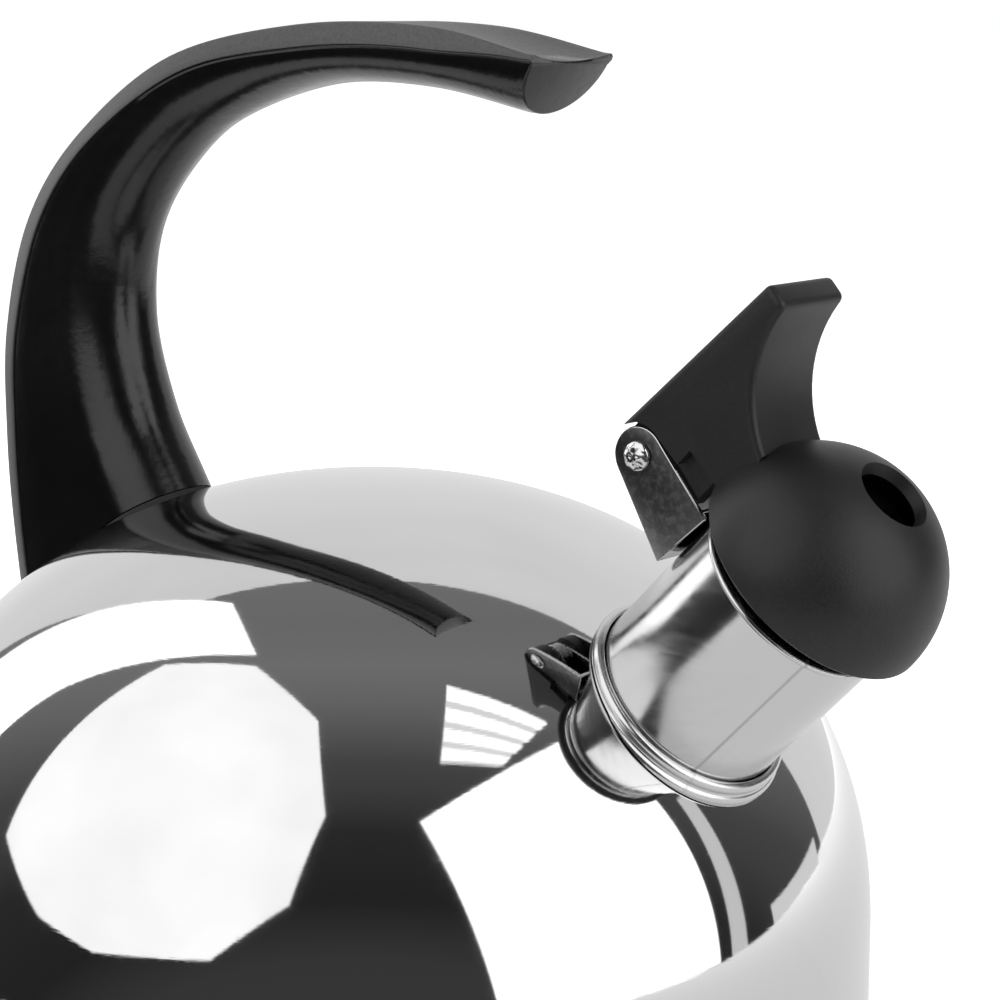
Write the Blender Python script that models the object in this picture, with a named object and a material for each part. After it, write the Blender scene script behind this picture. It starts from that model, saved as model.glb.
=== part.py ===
"""Stovetop whistling kettle, as an assembly of separate pieces.

Metres, +Z up. The origin is the centre of the base's underside, +X points to the spout and -X to the
handle's foot. Pieces on the spout are drawn in the spout's own frame: its Z runs along the spout from the
point where the spout's axis leaves the dome, and its X points across the spout, up and back.
"""

import math

import bmesh
import bpy
from mathutils import Matrix, Vector

# --- driving dimensions ---
GAP = 0.0003  # clearance between pieces that touch

BODY_R = 0.110
BODY_WALL = 0.0008
WAIST_Z = 0.0437  # height of the widest level, where the dome starts
DOME_H = 0.0963
DOME_POWER = 2.14  # exponent of the dome's superellipse
BODY_EDGE_Z = 0.028  # lower edge of the side wall
BODY_SEGMENTS = 48
DOME_STEPS = 10

CORNER_R = 0.022  # rounded lower corner of the pan
CORE_H = 0.0045
CORE_CHAMFER = 0.0008
CAPSULE_WALL = 0.0006
CAPSULE_R = 0.092
CAPSULE_CORNER_R = 0.0012

SPOUT_TILT = math.radians(45.3)  # from the horizontal
SPOUT_FOOT_X = 0.0866
SPOUT_R = 0.0206
SPOUT_WALL = 0.0008
SPOUT_LENGTH = 0.0362  # from the dome to the mouth, along the axis
SPOUT_INSERT = 0.0058
LIP_R = 0.0006
COLLAR_BEAD_R = 0.0013
COLLAR_SEAT_H = -0.0030
ROUND_SEGMENTS = 32

BRACKET_HALF_W = 0.0095
BRACKET_T = 0.001
EAR_SKIRT = 0.0013  # how far the ears' front corners hang below the web
BRACKET_LOW_H = 0.0187
BRACKET_HIGH_H = 0.0335
EAR_R = 0.0058
PIVOT_H = 0.0298
PIVOT_UP = 0.0384
RIVET_R = 0.0016
RIVET_HEAD_R = 0.0030
RIVET_HEAD_T = 0.0015
SLEEVE_WALL = 0.0007
LUG_R = 0.0052
LUG_T = 0.004
LUG_FRONT_IN = 0.0009  # in from the cap's radius, where the lugs meet its rim
LUG_FRONT_H = 0.0322
LUG_OVERLAP = 0.0015  # how far the lugs run into the cap and its lever
SPRING_WIRE_R = 0.00045
SPRING_TURNS = 4
SPRING_TURN_GAP = 0.0002
SPRING_FOOT_LENGTH = 0.0012
SPRING_FOOT_RISE = 0.002
SPRING_BEND = 0.0006

CAP_RIM_H = 0.0402  # height of the cap's rim plane, which holds the centre of its dome
CAP_R = 0.0249
CAP_WALL = 0.0024
CAP_HOLE_R = 0.0061
CAP_HOLE_MOUTH_R = 0.0075
CAP_HOLE_TAPER = 0.0030
CUTTER_OVER = 0.003  # how far a cutter runs past the face that it opens
LEVER_HALF_W = 0.0105
LEVER_UNDER_UP = 0.0310
LEVER_TIP_H = 0.0314
LEVER_TIP_UP = 0.0451
LEVER_TOP_H = 0.0760
LEVER_TOP_UP = 0.0420
LEVER_LIP_UP = 0.0366
LEVER_LIP_DROP = 0.0004
LEVER_FRONT_STEP = 0.0005  # from the rim to the lever's underside
LEVER_ROOT_SHARE = 0.7  # of the cap's radius, where the lever's underside ends inside the cap
FINGER_FOOT_SHARE = 0.8  # of the cap's radius, where the finger hollow meets the cap
FINGER_R = 0.0258
EAR_CLEARANCE = 0.0009

PLATE_T = 0.0008
PLATE_STEP = 0.0008  # how far the plate stands out of the rim
PLATE_RIM_H = 0.003
STEAM_HOLE_R = 0.003
CHAMBER_R = 0.0125
CHAMBER_H = 0.0042
CHAMBER_WALL = 0.0008
POST_OFFSET = 0.0165
POST_R = 0.0021
WHISTLE_SCREW_R = 0.0012
WHISTLE_SCREW_HEAD_R = 0.0022
WHISTLE_SCREW_HEAD_T = 0.001
WHISTLE_SCREW_LENGTH = 0.0055

HANDLE_W = 0.026
HANDLE_FOOT_W = 0.030
HANDLE_BAND = 0.0047  # height of the flat band along the handle's outer edge
HANDLE_STEP = 0.0004  # how far the grip steps in under the band
FLANK_TAPER = 0.97  # share of the width that is left where the flanks end and the round nose starts
NOSE_LENGTH = 1.1  # length of the round nose as a share of its half width
GASKET_T = 0.0015
TONGUE_IN = 0.0255  # in from the dome's widest level, as are the next places named so
TONGUE_T = 0.003
TONGUE_HALF_W = 0.007
TONGUE_RISE = 0.001  # above the dome's top, as are the heights of the screws
SADDLE_IN = 0.0265
SADDLE_HALF_L = 0.0115
SADDLE_HALF_W = 0.009
HANDLE_SCREW_RISE = (-0.020, -0.007)
HANDLE_SCREW_R = 0.0019
HANDLE_SCREW_HEAD_R = 0.0032
HANDLE_SCREW_HEAD_T = 0.0022
HANDLE_SCREW_CHAMFER = 0.0008
HANDLE_SCREW_SEAT_IN = 0.0155
WASHER_T = 0.0008
WASHER_R = 0.0037
SCREW_CLEARANCE = 0.0003

# Outer edge and inner edge of the handle, from the foot, inside the dome, to the free end. Each point is
# (distance in from the dome's widest level, towards the spout; height above the dome's top).
HANDLE_OUTER = (
    (0.0150, -0.0700),
    (0.0073, -0.0240),
    (0.0047, 0.0020),
    (0.0053, 0.0270),
    (0.0140, 0.0518),
    (0.0325, 0.0717),
    (0.0630, 0.0891),
    (0.1020, 0.0960),
    (0.1380, 0.0957),
    (0.1668, 0.0901),
)
HANDLE_INNER = (
    (0.0712, -0.0320),
    (0.0543, -0.0060),
    (0.0450, 0.0100),
    (0.0396, 0.0300),
    (0.0431, 0.0503),
    (0.0574, 0.0668),
    (0.0755, 0.0767),
    (0.1030, 0.0836),
    (0.1320, 0.0833),
    (0.1592, 0.0784),
)
HANDLE_STEPS = 3  # stations between two of the points above
NOSE_STEPS = 5

# --- colours ---
POLISHED = (0.78, 0.78, 0.78)
BRUSHED = (0.62, 0.62, 0.62)
ALUMINIUM = (0.72, 0.73, 0.74)
SPRING_STEEL = (0.55, 0.55, 0.56)
PHENOLIC = (0.012, 0.012, 0.012)
CAP_BLACK = (0.022, 0.022, 0.022)
PAD_BLACK = (0.02, 0.02, 0.02)

# --- derived places ---
DOME_TOP_Z = WAIST_Z + DOME_H
TONGUE_X = TONGUE_IN - BODY_R
TONGUE_TOP_Z = DOME_TOP_Z + TONGUE_RISE
SADDLE_X = SADDLE_IN - BODY_R
HANDLE_SCREW_Z = tuple(DOME_TOP_Z + rise for rise in HANDLE_SCREW_RISE)
HANDLE_SCREW_SEAT_X = HANDLE_SCREW_SEAT_IN - BODY_R
LUG_FRONT_UP = CAP_R - LUG_FRONT_IN
HINGE_CUTTER_HALF = 2 * BRACKET_HALF_W
PAN_LOW_Z = CAPSULE_WALL + CORE_H + 2 * GAP
PAN_FLAT_R = BODY_R - CORNER_R
PLATE_LOW_H = CAP_RIM_H - PLATE_STEP
CAP_INNER_R = CAP_R - CAP_WALL
BRACKET_LOW_UP = SPOUT_R + GAP
EAR_LOW_UP = BRACKET_LOW_UP - EAR_SKIRT
SLEEVE_R = RIVET_R + GAP + SLEEVE_WALL
LUG_HOLE_R = SLEEVE_R + GAP
EAR_INNER_Y = BRACKET_HALF_W - BRACKET_T
LUG_OUTER_Y = EAR_INNER_Y - GAP
LUG_INNER_Y = LUG_OUTER_Y - LUG_T
LEVER_UNDER_H = PIVOT_H + EAR_R + EAR_CLEARANCE
LEVER_FRONT_H = CAP_RIM_H + LEVER_FRONT_STEP


def clear_scene():
    for obj in list(bpy.data.objects):
        bpy.data.objects.remove(obj, do_unlink=True)


def make_material(name, color, roughness, metallic):
    material = bpy.data.materials.new(name)
    material.use_nodes = True
    shader = material.node_tree.nodes["Principled BSDF"]
    shader.inputs["Base Color"].default_value = (*color, 1.0)
    shader.inputs["Roughness"].default_value = roughness
    shader.inputs["Metallic"].default_value = metallic
    material.diffuse_color = (*color, 1.0)
    return material


# --- mesh tools ---
def object_from(name, work_mesh, material=None):
    """Turns a bmesh into an object whose faces point outwards."""
    bmesh.ops.recalc_face_normals(work_mesh, faces=work_mesh.faces)
    mesh = bpy.data.meshes.new(name)
    work_mesh.to_mesh(mesh)
    work_mesh.free()
    mesh.shade_smooth()
    mesh.set_sharp_from_angle(angle=math.radians(35))
    if material:
        mesh.materials.append(material)
    obj = bpy.data.objects.new(name, mesh)
    bpy.context.scene.collection.objects.link(obj)
    return obj


def turned(name, outline, material=None, segments=ROUND_SEGMENTS):
    """Turns an outline of (radius, height) points about Z. An end at radius 0 closes on the axis."""
    work_mesh = bmesh.new()
    rings = []
    for radius, height in outline:
        if radius < 1e-7:
            rings.append([work_mesh.verts.new((0, 0, height))])
            continue
        angles = [2 * math.pi * i / segments for i in range(segments)]
        rings.append(
            [work_mesh.verts.new((radius * math.cos(a), radius * math.sin(a), height)) for a in angles]
        )
    pairs = list(zip(rings, rings[1:]))
    if len(rings[0]) > 1 and len(rings[-1]) > 1:
        pairs.append((rings[-1], rings[0]))
    for low, high in pairs:
        for i in range(segments):
            j = i + 1
            corners = [low[i % len(low)], low[j % len(low)], high[j % len(high)], high[i % len(high)]]
            unique = list(dict.fromkeys(corners))
            if len(unique) > 2:
                work_mesh.faces.new(unique)
    return object_from(name, work_mesh, material)


def prism(name, outline, low_y, high_y, material=None):
    """Extrudes an outline of (x, z) points along Y."""
    work_mesh = bmesh.new()
    low = [work_mesh.verts.new((x, low_y, z)) for x, z in outline]
    high = [work_mesh.verts.new((x, high_y, z)) for x, z in outline]
    work_mesh.faces.new(low)
    work_mesh.faces.new(high)
    count = len(outline)
    for i in range(count):
        j = (i + 1) % count
        work_mesh.faces.new((low[i], low[j], high[j], high[i]))
    return object_from(name, work_mesh, material)


def block(name, low, high, material=None):
    outline = [(low[0], low[2]), (high[0], low[2]), (high[0], high[2]), (low[0], high[2])]
    return prism(name, outline, low[1], high[1], material)


def arc(centre, radius, start, end, steps):
    """Points on a circle from one angle to another, in degrees."""
    angles = [math.radians(start + (end - start) * i / steps) for i in range(steps + 1)]
    return [(centre[0] + radius * math.cos(a), centre[1] + radius * math.sin(a)) for a in angles]


def curve_points(points, steps):
    """Points on a smooth curve through the given ones."""
    ends = [2 * Vector(points[0]) - Vector(points[1]), *map(Vector, points)]
    ends.append(2 * Vector(points[-1]) - Vector(points[-2]))
    found = []
    for a, b, c, d in zip(ends, ends[1:], ends[2:], ends[3:]):
        for i in range(steps):
            t = i / steps
            found.append(
                b + 0.5 * t * ((c - a) + t * ((2 * a - 5 * b + 4 * c - d) + t * (3 * (b - c) + d - a)))
            )
    found.append(Vector(points[-1]))
    return found


def set_frame(obj, matrix):
    obj.matrix_world = matrix
    return obj


def boolean(obj, other, operation, solver="EXACT"):
    modifier = obj.modifiers.new(f"{operation.lower()}_{other.name}", "BOOLEAN")
    modifier.operation = operation
    modifier.object = other
    modifier.solver = solver
    other.hide_render = True
    other.display_type = "WIRE"


def cut(obj, *others):
    for other in others:
        boolean(obj, other, "DIFFERENCE")


def join(obj, *others):
    for other in others:
        boolean(obj, other, "UNION")


# --- body ---
def dome_outline(grow=0.0):
    """The dome from its top down to the waist, moved outwards by grow."""
    power = 2 / DOME_POWER
    points = []
    for i in range(DOME_STEPS + 1):
        angle = 0.5 * math.pi * i / DOME_STEPS
        radius = (BODY_R + grow) * math.sin(angle) ** power
        points.append((radius, WAIST_Z + (DOME_H + grow) * max(math.cos(angle), 0.0) ** power))
    points[-1] = (BODY_R + grow, WAIST_Z)
    return points


def dome_height(radius):
    angle = math.asin((radius / BODY_R) ** (DOME_POWER / 2))
    return WAIST_Z + DOME_H * math.cos(angle) ** (2 / DOME_POWER)


def dome_solid(name, grow):
    """The solid under the dome, for cutting what stands on it."""
    outline = [*dome_outline(grow), (BODY_R + grow, BODY_EDGE_Z), (0, BODY_EDGE_Z)]
    return turned(name, outline, segments=BODY_SEGMENTS)


def make_body(steel, spout_frame):
    outer = [*dome_outline(), (BODY_R, BODY_EDGE_Z)]
    inner = [(BODY_R - BODY_WALL, BODY_EDGE_Z), *reversed(dome_outline(-BODY_WALL))]
    shell = turned("body_shell", [*outer, *inner], steel, BODY_SEGMENTS)
    hole = turned("spout_hole_cutter", rod(SPOUT_R + GAP, -4 * SPOUT_INSERT, SPOUT_LENGTH))
    set_frame(hole, spout_frame)
    cut(shell, hole)


def rod(radius, low, high):
    return [(0, low), (radius, low), (radius, high), (0, high)]


def make_base(steel, aluminium):
    centre = (PAN_FLAT_R, PAN_LOW_Z + CORNER_R)
    outer = arc(centre, CORNER_R, -90, 0, 5)
    inner = arc(centre, CORNER_R - BODY_WALL, 0, -90, 5)
    pan = [(0, PAN_LOW_Z), *outer, *inner, (0, PAN_LOW_Z + BODY_WALL)]
    turned("base_pan", pan, steel, BODY_SEGMENTS)

    core_low = CAPSULE_WALL + GAP
    core_r = CAPSULE_R - CAPSULE_WALL - GAP
    core = [(0, core_low), (core_r - CORE_CHAMFER, core_low), (core_r, core_low + CORE_CHAMFER)]
    core += [(core_r, core_low + CORE_H), (0, core_low + CORE_H)]
    turned("base_core", core, aluminium, BODY_SEGMENTS)

    rim_z = core_low + CORE_H
    corner = (CAPSULE_R - CAPSULE_CORNER_R, CAPSULE_CORNER_R)
    capsule = [(0, 0), *arc(corner, CAPSULE_CORNER_R, -90, 0, 2), (CAPSULE_R, rim_z)]
    inner_r = CAPSULE_R - CAPSULE_WALL
    capsule += [(inner_r, rim_z), (inner_r, CAPSULE_WALL), (0, CAPSULE_WALL)]
    turned("base_capsule", capsule, steel, BODY_SEGMENTS)


# --- spout ---
def make_spout(steel, spout_frame):
    inner_r = SPOUT_R - SPOUT_WALL
    lip = arc((SPOUT_R, SPOUT_LENGTH - LIP_R), LIP_R, -90, 90, 3)
    outline = [(inner_r, -SPOUT_INSERT), (SPOUT_R, -SPOUT_INSERT), *lip, (inner_r, SPOUT_LENGTH)]
    set_frame(turned("spout_tube", outline, steel), spout_frame)


def make_collar(steel, spout_frame):
    """Two rolled beads, one above the other, whose underside follows the dome."""
    bore_r = SPOUT_R + GAP
    upper = (bore_r + 0.3 * COLLAR_BEAD_R, COLLAR_SEAT_H + 1.9 * COLLAR_BEAD_R)
    lower = (bore_r + 1.0 * COLLAR_BEAD_R, COLLAR_SEAT_H)
    foot_h = COLLAR_SEAT_H - 4 * COLLAR_BEAD_R
    outline = [(bore_r, foot_h), (lower[0] + COLLAR_BEAD_R, foot_h)]
    outline += arc(lower, COLLAR_BEAD_R, 0, 70, 3)
    outline += arc(upper, COLLAR_BEAD_R, -30, 100, 4)
    outline.append((bore_r, upper[1] + 0.9 * COLLAR_BEAD_R))
    collar = set_frame(turned("spout_collar", outline, steel), spout_frame)
    cut(collar, dome_solid("collar_seat_cutter", GAP))


# --- hinge ---
def crosswise(obj, spout_frame):
    """Lays a piece turned about Z across the spout, on the pivot."""
    across = Matrix.Translation((PIVOT_UP, 0, PIVOT_H)) @ Matrix.Rotation(math.pi / 2, 4, "X")
    return set_frame(obj, spout_frame @ across)


def tangent_angle(corner, centre, radius, side):
    """The angle, seen from a circle's centre, of the point where a line from the corner touches it."""
    away = Vector(corner) - Vector(centre)
    towards = math.atan2(away.y, away.x)
    return math.degrees(towards + side * math.acos(radius / away.length))


def ear_outline():
    """The bracket from the side, as (up, along) points in the spout's frame."""
    pivot = (PIVOT_UP, PIVOT_H)
    low = (BRACKET_LOW_UP, BRACKET_LOW_H)
    high = (EAR_LOW_UP, BRACKET_HIGH_H)
    start = tangent_angle(low, pivot, EAR_R, 1)
    end = tangent_angle(high, pivot, EAR_R, -1)
    return [low, *arc(pivot, EAR_R, start, end, 10), high]


def make_bracket(steel, spout_frame):
    bracket = prism("hinge_bracket", ear_outline(), -BRACKET_HALF_W, BRACKET_HALF_W, steel)
    set_frame(bracket, spout_frame)
    beyond = PIVOT_UP + 2 * EAR_R
    slot = block(
        "bracket_slot_cutter",
        (BRACKET_LOW_UP + BRACKET_T, -EAR_INNER_Y, 0.5 * BRACKET_LOW_H),
        (beyond, EAR_INNER_Y, PIVOT_H + 2 * EAR_R),
    )
    under = block(
        "bracket_skirt_cutter",
        (EAR_LOW_UP - EAR_R, -EAR_INNER_Y, 0.5 * BRACKET_LOW_H),
        (BRACKET_LOW_UP, EAR_INNER_Y, BRACKET_HIGH_H + EAR_R),
    )
    for piece in (slot, under):
        set_frame(piece, spout_frame)
    bore = rod(RIVET_R + GAP, -HINGE_CUTTER_HALF, HINGE_CUTTER_HALF)
    hole = turned("rivet_hole_cutter", bore, segments=14)
    cut(bracket, slot, under, crosswise(hole, spout_frame))


def make_rivet(steel, spout_frame):
    head_y = BRACKET_HALF_W + GAP
    head = [(RIVET_HEAD_R, head_y), (RIVET_HEAD_R, head_y + 0.35 * RIVET_HEAD_T)]
    head.append((0.8 * RIVET_HEAD_R, head_y + 0.8 * RIVET_HEAD_T))
    head.append((0.4 * RIVET_HEAD_R, head_y + RIVET_HEAD_T))
    half = [(RIVET_R, head_y), *head, (0, head_y + RIVET_HEAD_T)]
    other_half = [(radius, -height) for radius, height in reversed(half)]
    crosswise(turned("hinge_rivet", [*other_half, *half], steel, 16), spout_frame)


def make_sleeve(steel, spout_frame):
    inner_r = RIVET_R + GAP
    half = EAR_INNER_Y - GAP
    outline = [(inner_r, -half), (SLEEVE_R, -half), (SLEEVE_R, half), (inner_r, half)]
    crosswise(turned("hinge_sleeve", outline, steel, 16), spout_frame)


def make_spring(steel, spout_frame):
    """A torsion spring: one leg rests on the bracket's web, the other under the lever."""
    coil_r = LUG_HOLE_R + SPRING_WIRE_R + GAP
    pitch = 2 * SPRING_WIRE_R + SPRING_TURN_GAP
    half = 0.5 * SPRING_TURNS * pitch
    start, end = math.radians(-160), math.radians(-125)
    sweep = 2 * math.pi * SPRING_TURNS + (end - start)
    steps = 10 * SPRING_TURNS
    web_up = BRACKET_LOW_UP + BRACKET_T + SPRING_WIRE_R + GAP
    leg_h = BRACKET_LOW_H + 0.35 * (BRACKET_HIGH_H - BRACKET_LOW_H)
    lever_up = LEVER_UNDER_UP - SPRING_WIRE_R - GAP
    points = [(web_up, -half, leg_h - SPRING_FOOT_LENGTH), (web_up + SPRING_FOOT_RISE, -half, leg_h)]
    for i in range(steps + 1):
        angle = start + sweep * i / steps
        along = PIVOT_H + coil_r * math.cos(angle)
        up = PIVOT_UP + coil_r * math.sin(angle)
        points.append((up, -half + 2 * half * i / steps, along))
    points.append((lever_up - SPRING_BEND, half, LEVER_UNDER_H - SPRING_BEND))
    points.append((lever_up, half, LEVER_FRONT_H - 2 * SPRING_BEND))
    curve = bpy.data.curves.new("hinge_spring", "CURVE")
    curve.dimensions = "3D"
    curve.bevel_depth = SPRING_WIRE_R
    curve.bevel_resolution = 1
    curve.use_fill_caps = True
    spline = curve.splines.new("POLY")
    spline.points.add(len(points) - 1)
    for point, place in zip(spline.points, points):
        point.co = (*place, 1)
    curve.materials.append(steel)
    spring = bpy.data.objects.new("hinge_spring", curve)
    bpy.context.scene.collection.objects.link(spring)
    set_frame(spring, spout_frame)


# --- cap and whistle ---
def lever_outline():
    """The lever from the side, as (up, along) points in the spout's frame."""
    pivot = (PIVOT_UP, PIVOT_H)
    clear_r = EAR_R + EAR_CLEARANCE
    tip_angle = math.degrees(math.asin((LEVER_TIP_H - PIVOT_H) / clear_r))
    outline = [(LEVER_ROOT_SHARE * CAP_R, LEVER_FRONT_H), (LEVER_UNDER_UP, LEVER_FRONT_H)]
    outline.append((LEVER_UNDER_UP, LEVER_UNDER_H))
    outline += arc(pivot, clear_r, 90, tip_angle, 6)
    lip = Vector((LEVER_LIP_UP, LEVER_TOP_H - LEVER_LIP_DROP))
    outline += [(LEVER_TIP_UP, LEVER_TIP_H), (LEVER_TOP_UP, LEVER_TOP_H), tuple(lip)]
    foot = Vector((FINGER_FOOT_SHARE * CAP_R, CAP_RIM_H + 0.5 * CAP_R))
    return outline + finger_arc(lip, foot)


def finger_arc(start, end):
    """The hollow front of the lever: an arc of radius FINGER_R between two points."""
    chord = end - start
    middle = 0.5 * (start + end)
    sag = math.sqrt(FINGER_R**2 - 0.25 * chord.length_squared)
    centre = middle + sag * Vector((chord.y, -chord.x)).normalized()
    first = math.degrees(math.atan2(start.y - centre.y, start.x - centre.x))
    last = math.degrees(math.atan2(end.y - centre.y, end.x - centre.x))
    if last - first > 180:
        last -= 360
    if first - last > 180:
        last += 360
    return arc(centre, FINGER_R, first, last, 8)[1:]


def lug_outline():
    """A hinge lug from the side: a round eye that widens towards the cap's rim."""
    pivot = (PIVOT_UP, PIVOT_H)
    front = [(LUG_FRONT_UP, CAP_RIM_H + LUG_OVERLAP), (LUG_FRONT_UP, LUG_FRONT_H)]
    return [*arc(pivot, LUG_R, -180, 0, 9), (PIVOT_UP + LUG_R, LEVER_UNDER_H + LUG_OVERLAP), *front]


def post_outline():
    """A post moulded inside the cap, with the blind hole that a whistle screw goes into."""
    low = PLATE_LOW_H + PLATE_T + GAP
    top = CAP_RIM_H + math.sqrt(CAP_INNER_R**2 - (POST_OFFSET + POST_R) ** 2) + 0.3 * CAP_WALL
    bore_r = WHISTLE_SCREW_R + GAP
    bore_end = PLATE_LOW_H + WHISTLE_SCREW_LENGTH + GAP
    return [(0, bore_end), (bore_r, bore_end), (bore_r, low), (POST_R, low), (POST_R, top), (0, top)]


def make_cap(plastic, hinge):
    offset = Matrix.Translation((-PIVOT_UP, 0, -PIVOT_H))
    frame = hinge.matrix_world @ offset
    rim = (0, CAP_RIM_H)
    ball = turned("whistle_cap", [rim, *arc(rim, CAP_R, 0, 90, 9)[:-1], (0, CAP_RIM_H + CAP_R)], plastic)
    hollow = [(0, CAP_RIM_H - CUTTER_OVER), (CAP_INNER_R, CAP_RIM_H - CUTTER_OVER)]
    hollow += [*arc(rim, CAP_INNER_R, 0, 90, 6)[:-1], (0, CAP_RIM_H + CAP_INNER_R)]
    inside = turned("cap_hollow_cutter", hollow)
    mouth_h = CAP_RIM_H + math.sqrt(CAP_R**2 - CAP_HOLE_MOUTH_R**2)
    slope = (CAP_HOLE_MOUTH_R - CAP_HOLE_R) / CAP_HOLE_TAPER
    wide_r = CAP_HOLE_MOUTH_R + slope * CUTTER_OVER
    hole = [(0, mouth_h - 3 * CAP_HOLE_TAPER), (CAP_HOLE_R, mouth_h - 3 * CAP_HOLE_TAPER)]
    hole += [(CAP_HOLE_R, mouth_h - CAP_HOLE_TAPER), (wide_r, mouth_h + CUTTER_OVER)]
    hole.append((0, mouth_h + CUTTER_OVER))
    steam = turned("steam_hole_cutter", hole, segments=14)
    lever = prism("lever_joiner", lever_outline(), -LEVER_HALF_W, LEVER_HALF_W)
    lugs = []
    for side, name in ((-1, "near"), (1, "far")):
        ends = sorted((side * LUG_INNER_Y, side * LUG_OUTER_Y))
        lugs.append(prism(f"lug_joiner_{name}", lug_outline(), *ends))
    bore_outline = rod(LUG_HOLE_R, -HINGE_CUTTER_HALF, HINGE_CUTTER_HALF)
    bore = turned("lug_bore_cutter", bore_outline, segments=14)
    posts = []
    for side, name in ((-1, "near"), (1, "far")):
        post = turned(f"post_joiner_{name}", post_outline(), segments=10)
        posts.append(set_frame(post, frame @ Matrix.Translation((0, side * POST_OFFSET, 0))))
    for piece in (inside, steam, lever, *lugs):
        set_frame(piece, frame)
    crosswise(bore, hinge.matrix_world @ offset)
    ball.parent = hinge
    ball.location = (-PIVOT_UP, 0, -PIVOT_H)
    join(ball, lever)
    cut(ball, inside, steam)
    join(ball, *lugs)
    cut(ball, bore)
    join(ball, *posts)


def on_hinge(obj, hinge, across=0.0):
    obj.parent = hinge
    obj.location = (-PIVOT_UP, across, -PIVOT_H)
    return obj


def make_whistle(steel, hinge):
    plate_r = CAP_INNER_R - GAP
    low = PLATE_LOW_H
    plate = [(STEAM_HOLE_R, low), (plate_r, low), (plate_r, low + PLATE_RIM_H)]
    plate += [(plate_r - PLATE_T, low + PLATE_RIM_H), (plate_r - PLATE_T, low + PLATE_T)]
    plate.append((STEAM_HOLE_R, low + PLATE_T))
    plate = on_hinge(turned("whistle_plate", plate, steel), hinge)
    ring_low = low + PLATE_T + GAP
    ring = [(CHAMBER_R - CHAMBER_WALL, ring_low), (CHAMBER_R, ring_low)]
    ring += [(CHAMBER_R, ring_low + CHAMBER_H), (CHAMBER_R - CHAMBER_WALL, ring_low + CHAMBER_H)]
    on_hinge(turned("whistle_chamber", ring, steel, 16), hinge)
    disc_low = ring_low + CHAMBER_H + GAP
    disc = [(STEAM_HOLE_R, disc_low), (CHAMBER_R, disc_low)]
    disc += [(CHAMBER_R, disc_low + PLATE_T), (STEAM_HOLE_R, disc_low + PLATE_T)]
    on_hinge(turned("whistle_top_disc", disc, steel, 16), hinge)
    for side, name in ((-1, "near"), (1, "far")):
        make_whistle_screw(name, side, low, steel, hinge, plate)


def make_whistle_screw(name, side, plate_low, steel, hinge, plate):
    head_top = plate_low - GAP
    shank_top = plate_low + WHISTLE_SCREW_LENGTH
    head_low = head_top - WHISTLE_SCREW_HEAD_T
    edge_low = head_top - 0.4 * WHISTLE_SCREW_HEAD_T
    outline = [(0, head_low), (0.7 * WHISTLE_SCREW_HEAD_R, head_low), (WHISTLE_SCREW_HEAD_R, edge_low)]
    outline += [(WHISTLE_SCREW_HEAD_R, head_top), (WHISTLE_SCREW_R, head_top)]
    outline += [(WHISTLE_SCREW_R, shank_top), (0, shank_top)]
    on_hinge(turned(f"whistle_screw_{name}", outline, steel, 10), hinge, side * POST_OFFSET)
    way = rod(WHISTLE_SCREW_R + GAP, plate_low - PLATE_T, plate_low + 2 * PLATE_T)
    hole = turned(f"screw_hole_cutter_{name}", way)
    # The exact solver leaves open edges at this small hole.
    boolean(plate, on_hinge(hole, hinge, side * POST_OFFSET), "DIFFERENCE", "MANIFOLD")


# --- handle ---
def handle_section(depth, half_w):
    """Half of the D section, as (y, distance from the outer face) points from the corner to the nose."""
    points = [(half_w, 0.0), (half_w, HANDLE_BAND)]
    nose_w = half_w - HANDLE_STEP
    start = HANDLE_BAND + HANDLE_STEP
    points.append((nose_w, start))
    nose_w *= FLANK_TAPER
    nose_d = min(depth - start - HANDLE_STEP, NOSE_LENGTH * nose_w)
    for i in range(NOSE_STEPS + 1):
        angle = 0.5 * math.pi * i / NOSE_STEPS
        points.append((nose_w * math.cos(angle), depth - nose_d * (1 - math.sin(angle))))
    return points


def handle_edge(points):
    """A smooth edge of the handle in the XZ plane."""
    return curve_points([(inward - BODY_R, DOME_TOP_Z + rise) for inward, rise in points], HANDLE_STEPS)


def handle_solid(name, material=None):
    outer = handle_edge(HANDLE_OUTER)
    inner = handle_edge(HANDLE_INNER)
    work_mesh = bmesh.new()
    loops = []
    for station, (edge, nose) in enumerate(zip(outer, inner)):
        share = station / (len(outer) - 1)
        width = HANDLE_FOOT_W + (HANDLE_W - HANDLE_FOOT_W) * min(1.0, 3 * share)
        inward = nose - edge
        half = handle_section(inward.length, 0.5 * width)
        inward.normalize()
        section = half + [(-y, d) for y, d in reversed(half[:-1])]
        places = [(edge.x + inward.x * d, y, edge.y + inward.y * d) for y, d in section]
        loops.append([work_mesh.verts.new(place) for place in places])
    for low, high in zip(loops, loops[1:]):
        count = len(low)
        for i in range(count):
            j = (i + 1) % count
            work_mesh.faces.new((low[i], low[j], high[j], high[i]))
    work_mesh.faces.new(loops[0])
    work_mesh.faces.new(loops[-1])
    return object_from(name, work_mesh, material)


def saddle_block(name, clearance, low_z, high_z):
    low = (SADDLE_X - SADDLE_HALF_L - clearance, -SADDLE_HALF_W - clearance, low_z)
    high = (SADDLE_X + SADDLE_HALF_L + clearance, SADDLE_HALF_W + clearance, high_z)
    return block(name, low, high)


def tongue_block(name, clearance):
    low = (TONGUE_X - 0.5 * TONGUE_T - clearance, -TONGUE_HALF_W - clearance, WAIST_Z)
    high = (TONGUE_X + 0.5 * TONGUE_T + clearance, TONGUE_HALF_W + clearance, TONGUE_TOP_Z + clearance)
    return block(name, low, high)


def along_x(obj, z):
    """Lays a piece turned about Z along X at a height, its low end towards -X."""
    return set_frame(obj, Matrix.Translation((0, 0, z)) @ Matrix.Rotation(math.pi / 2, 4, "Y"))


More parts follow.
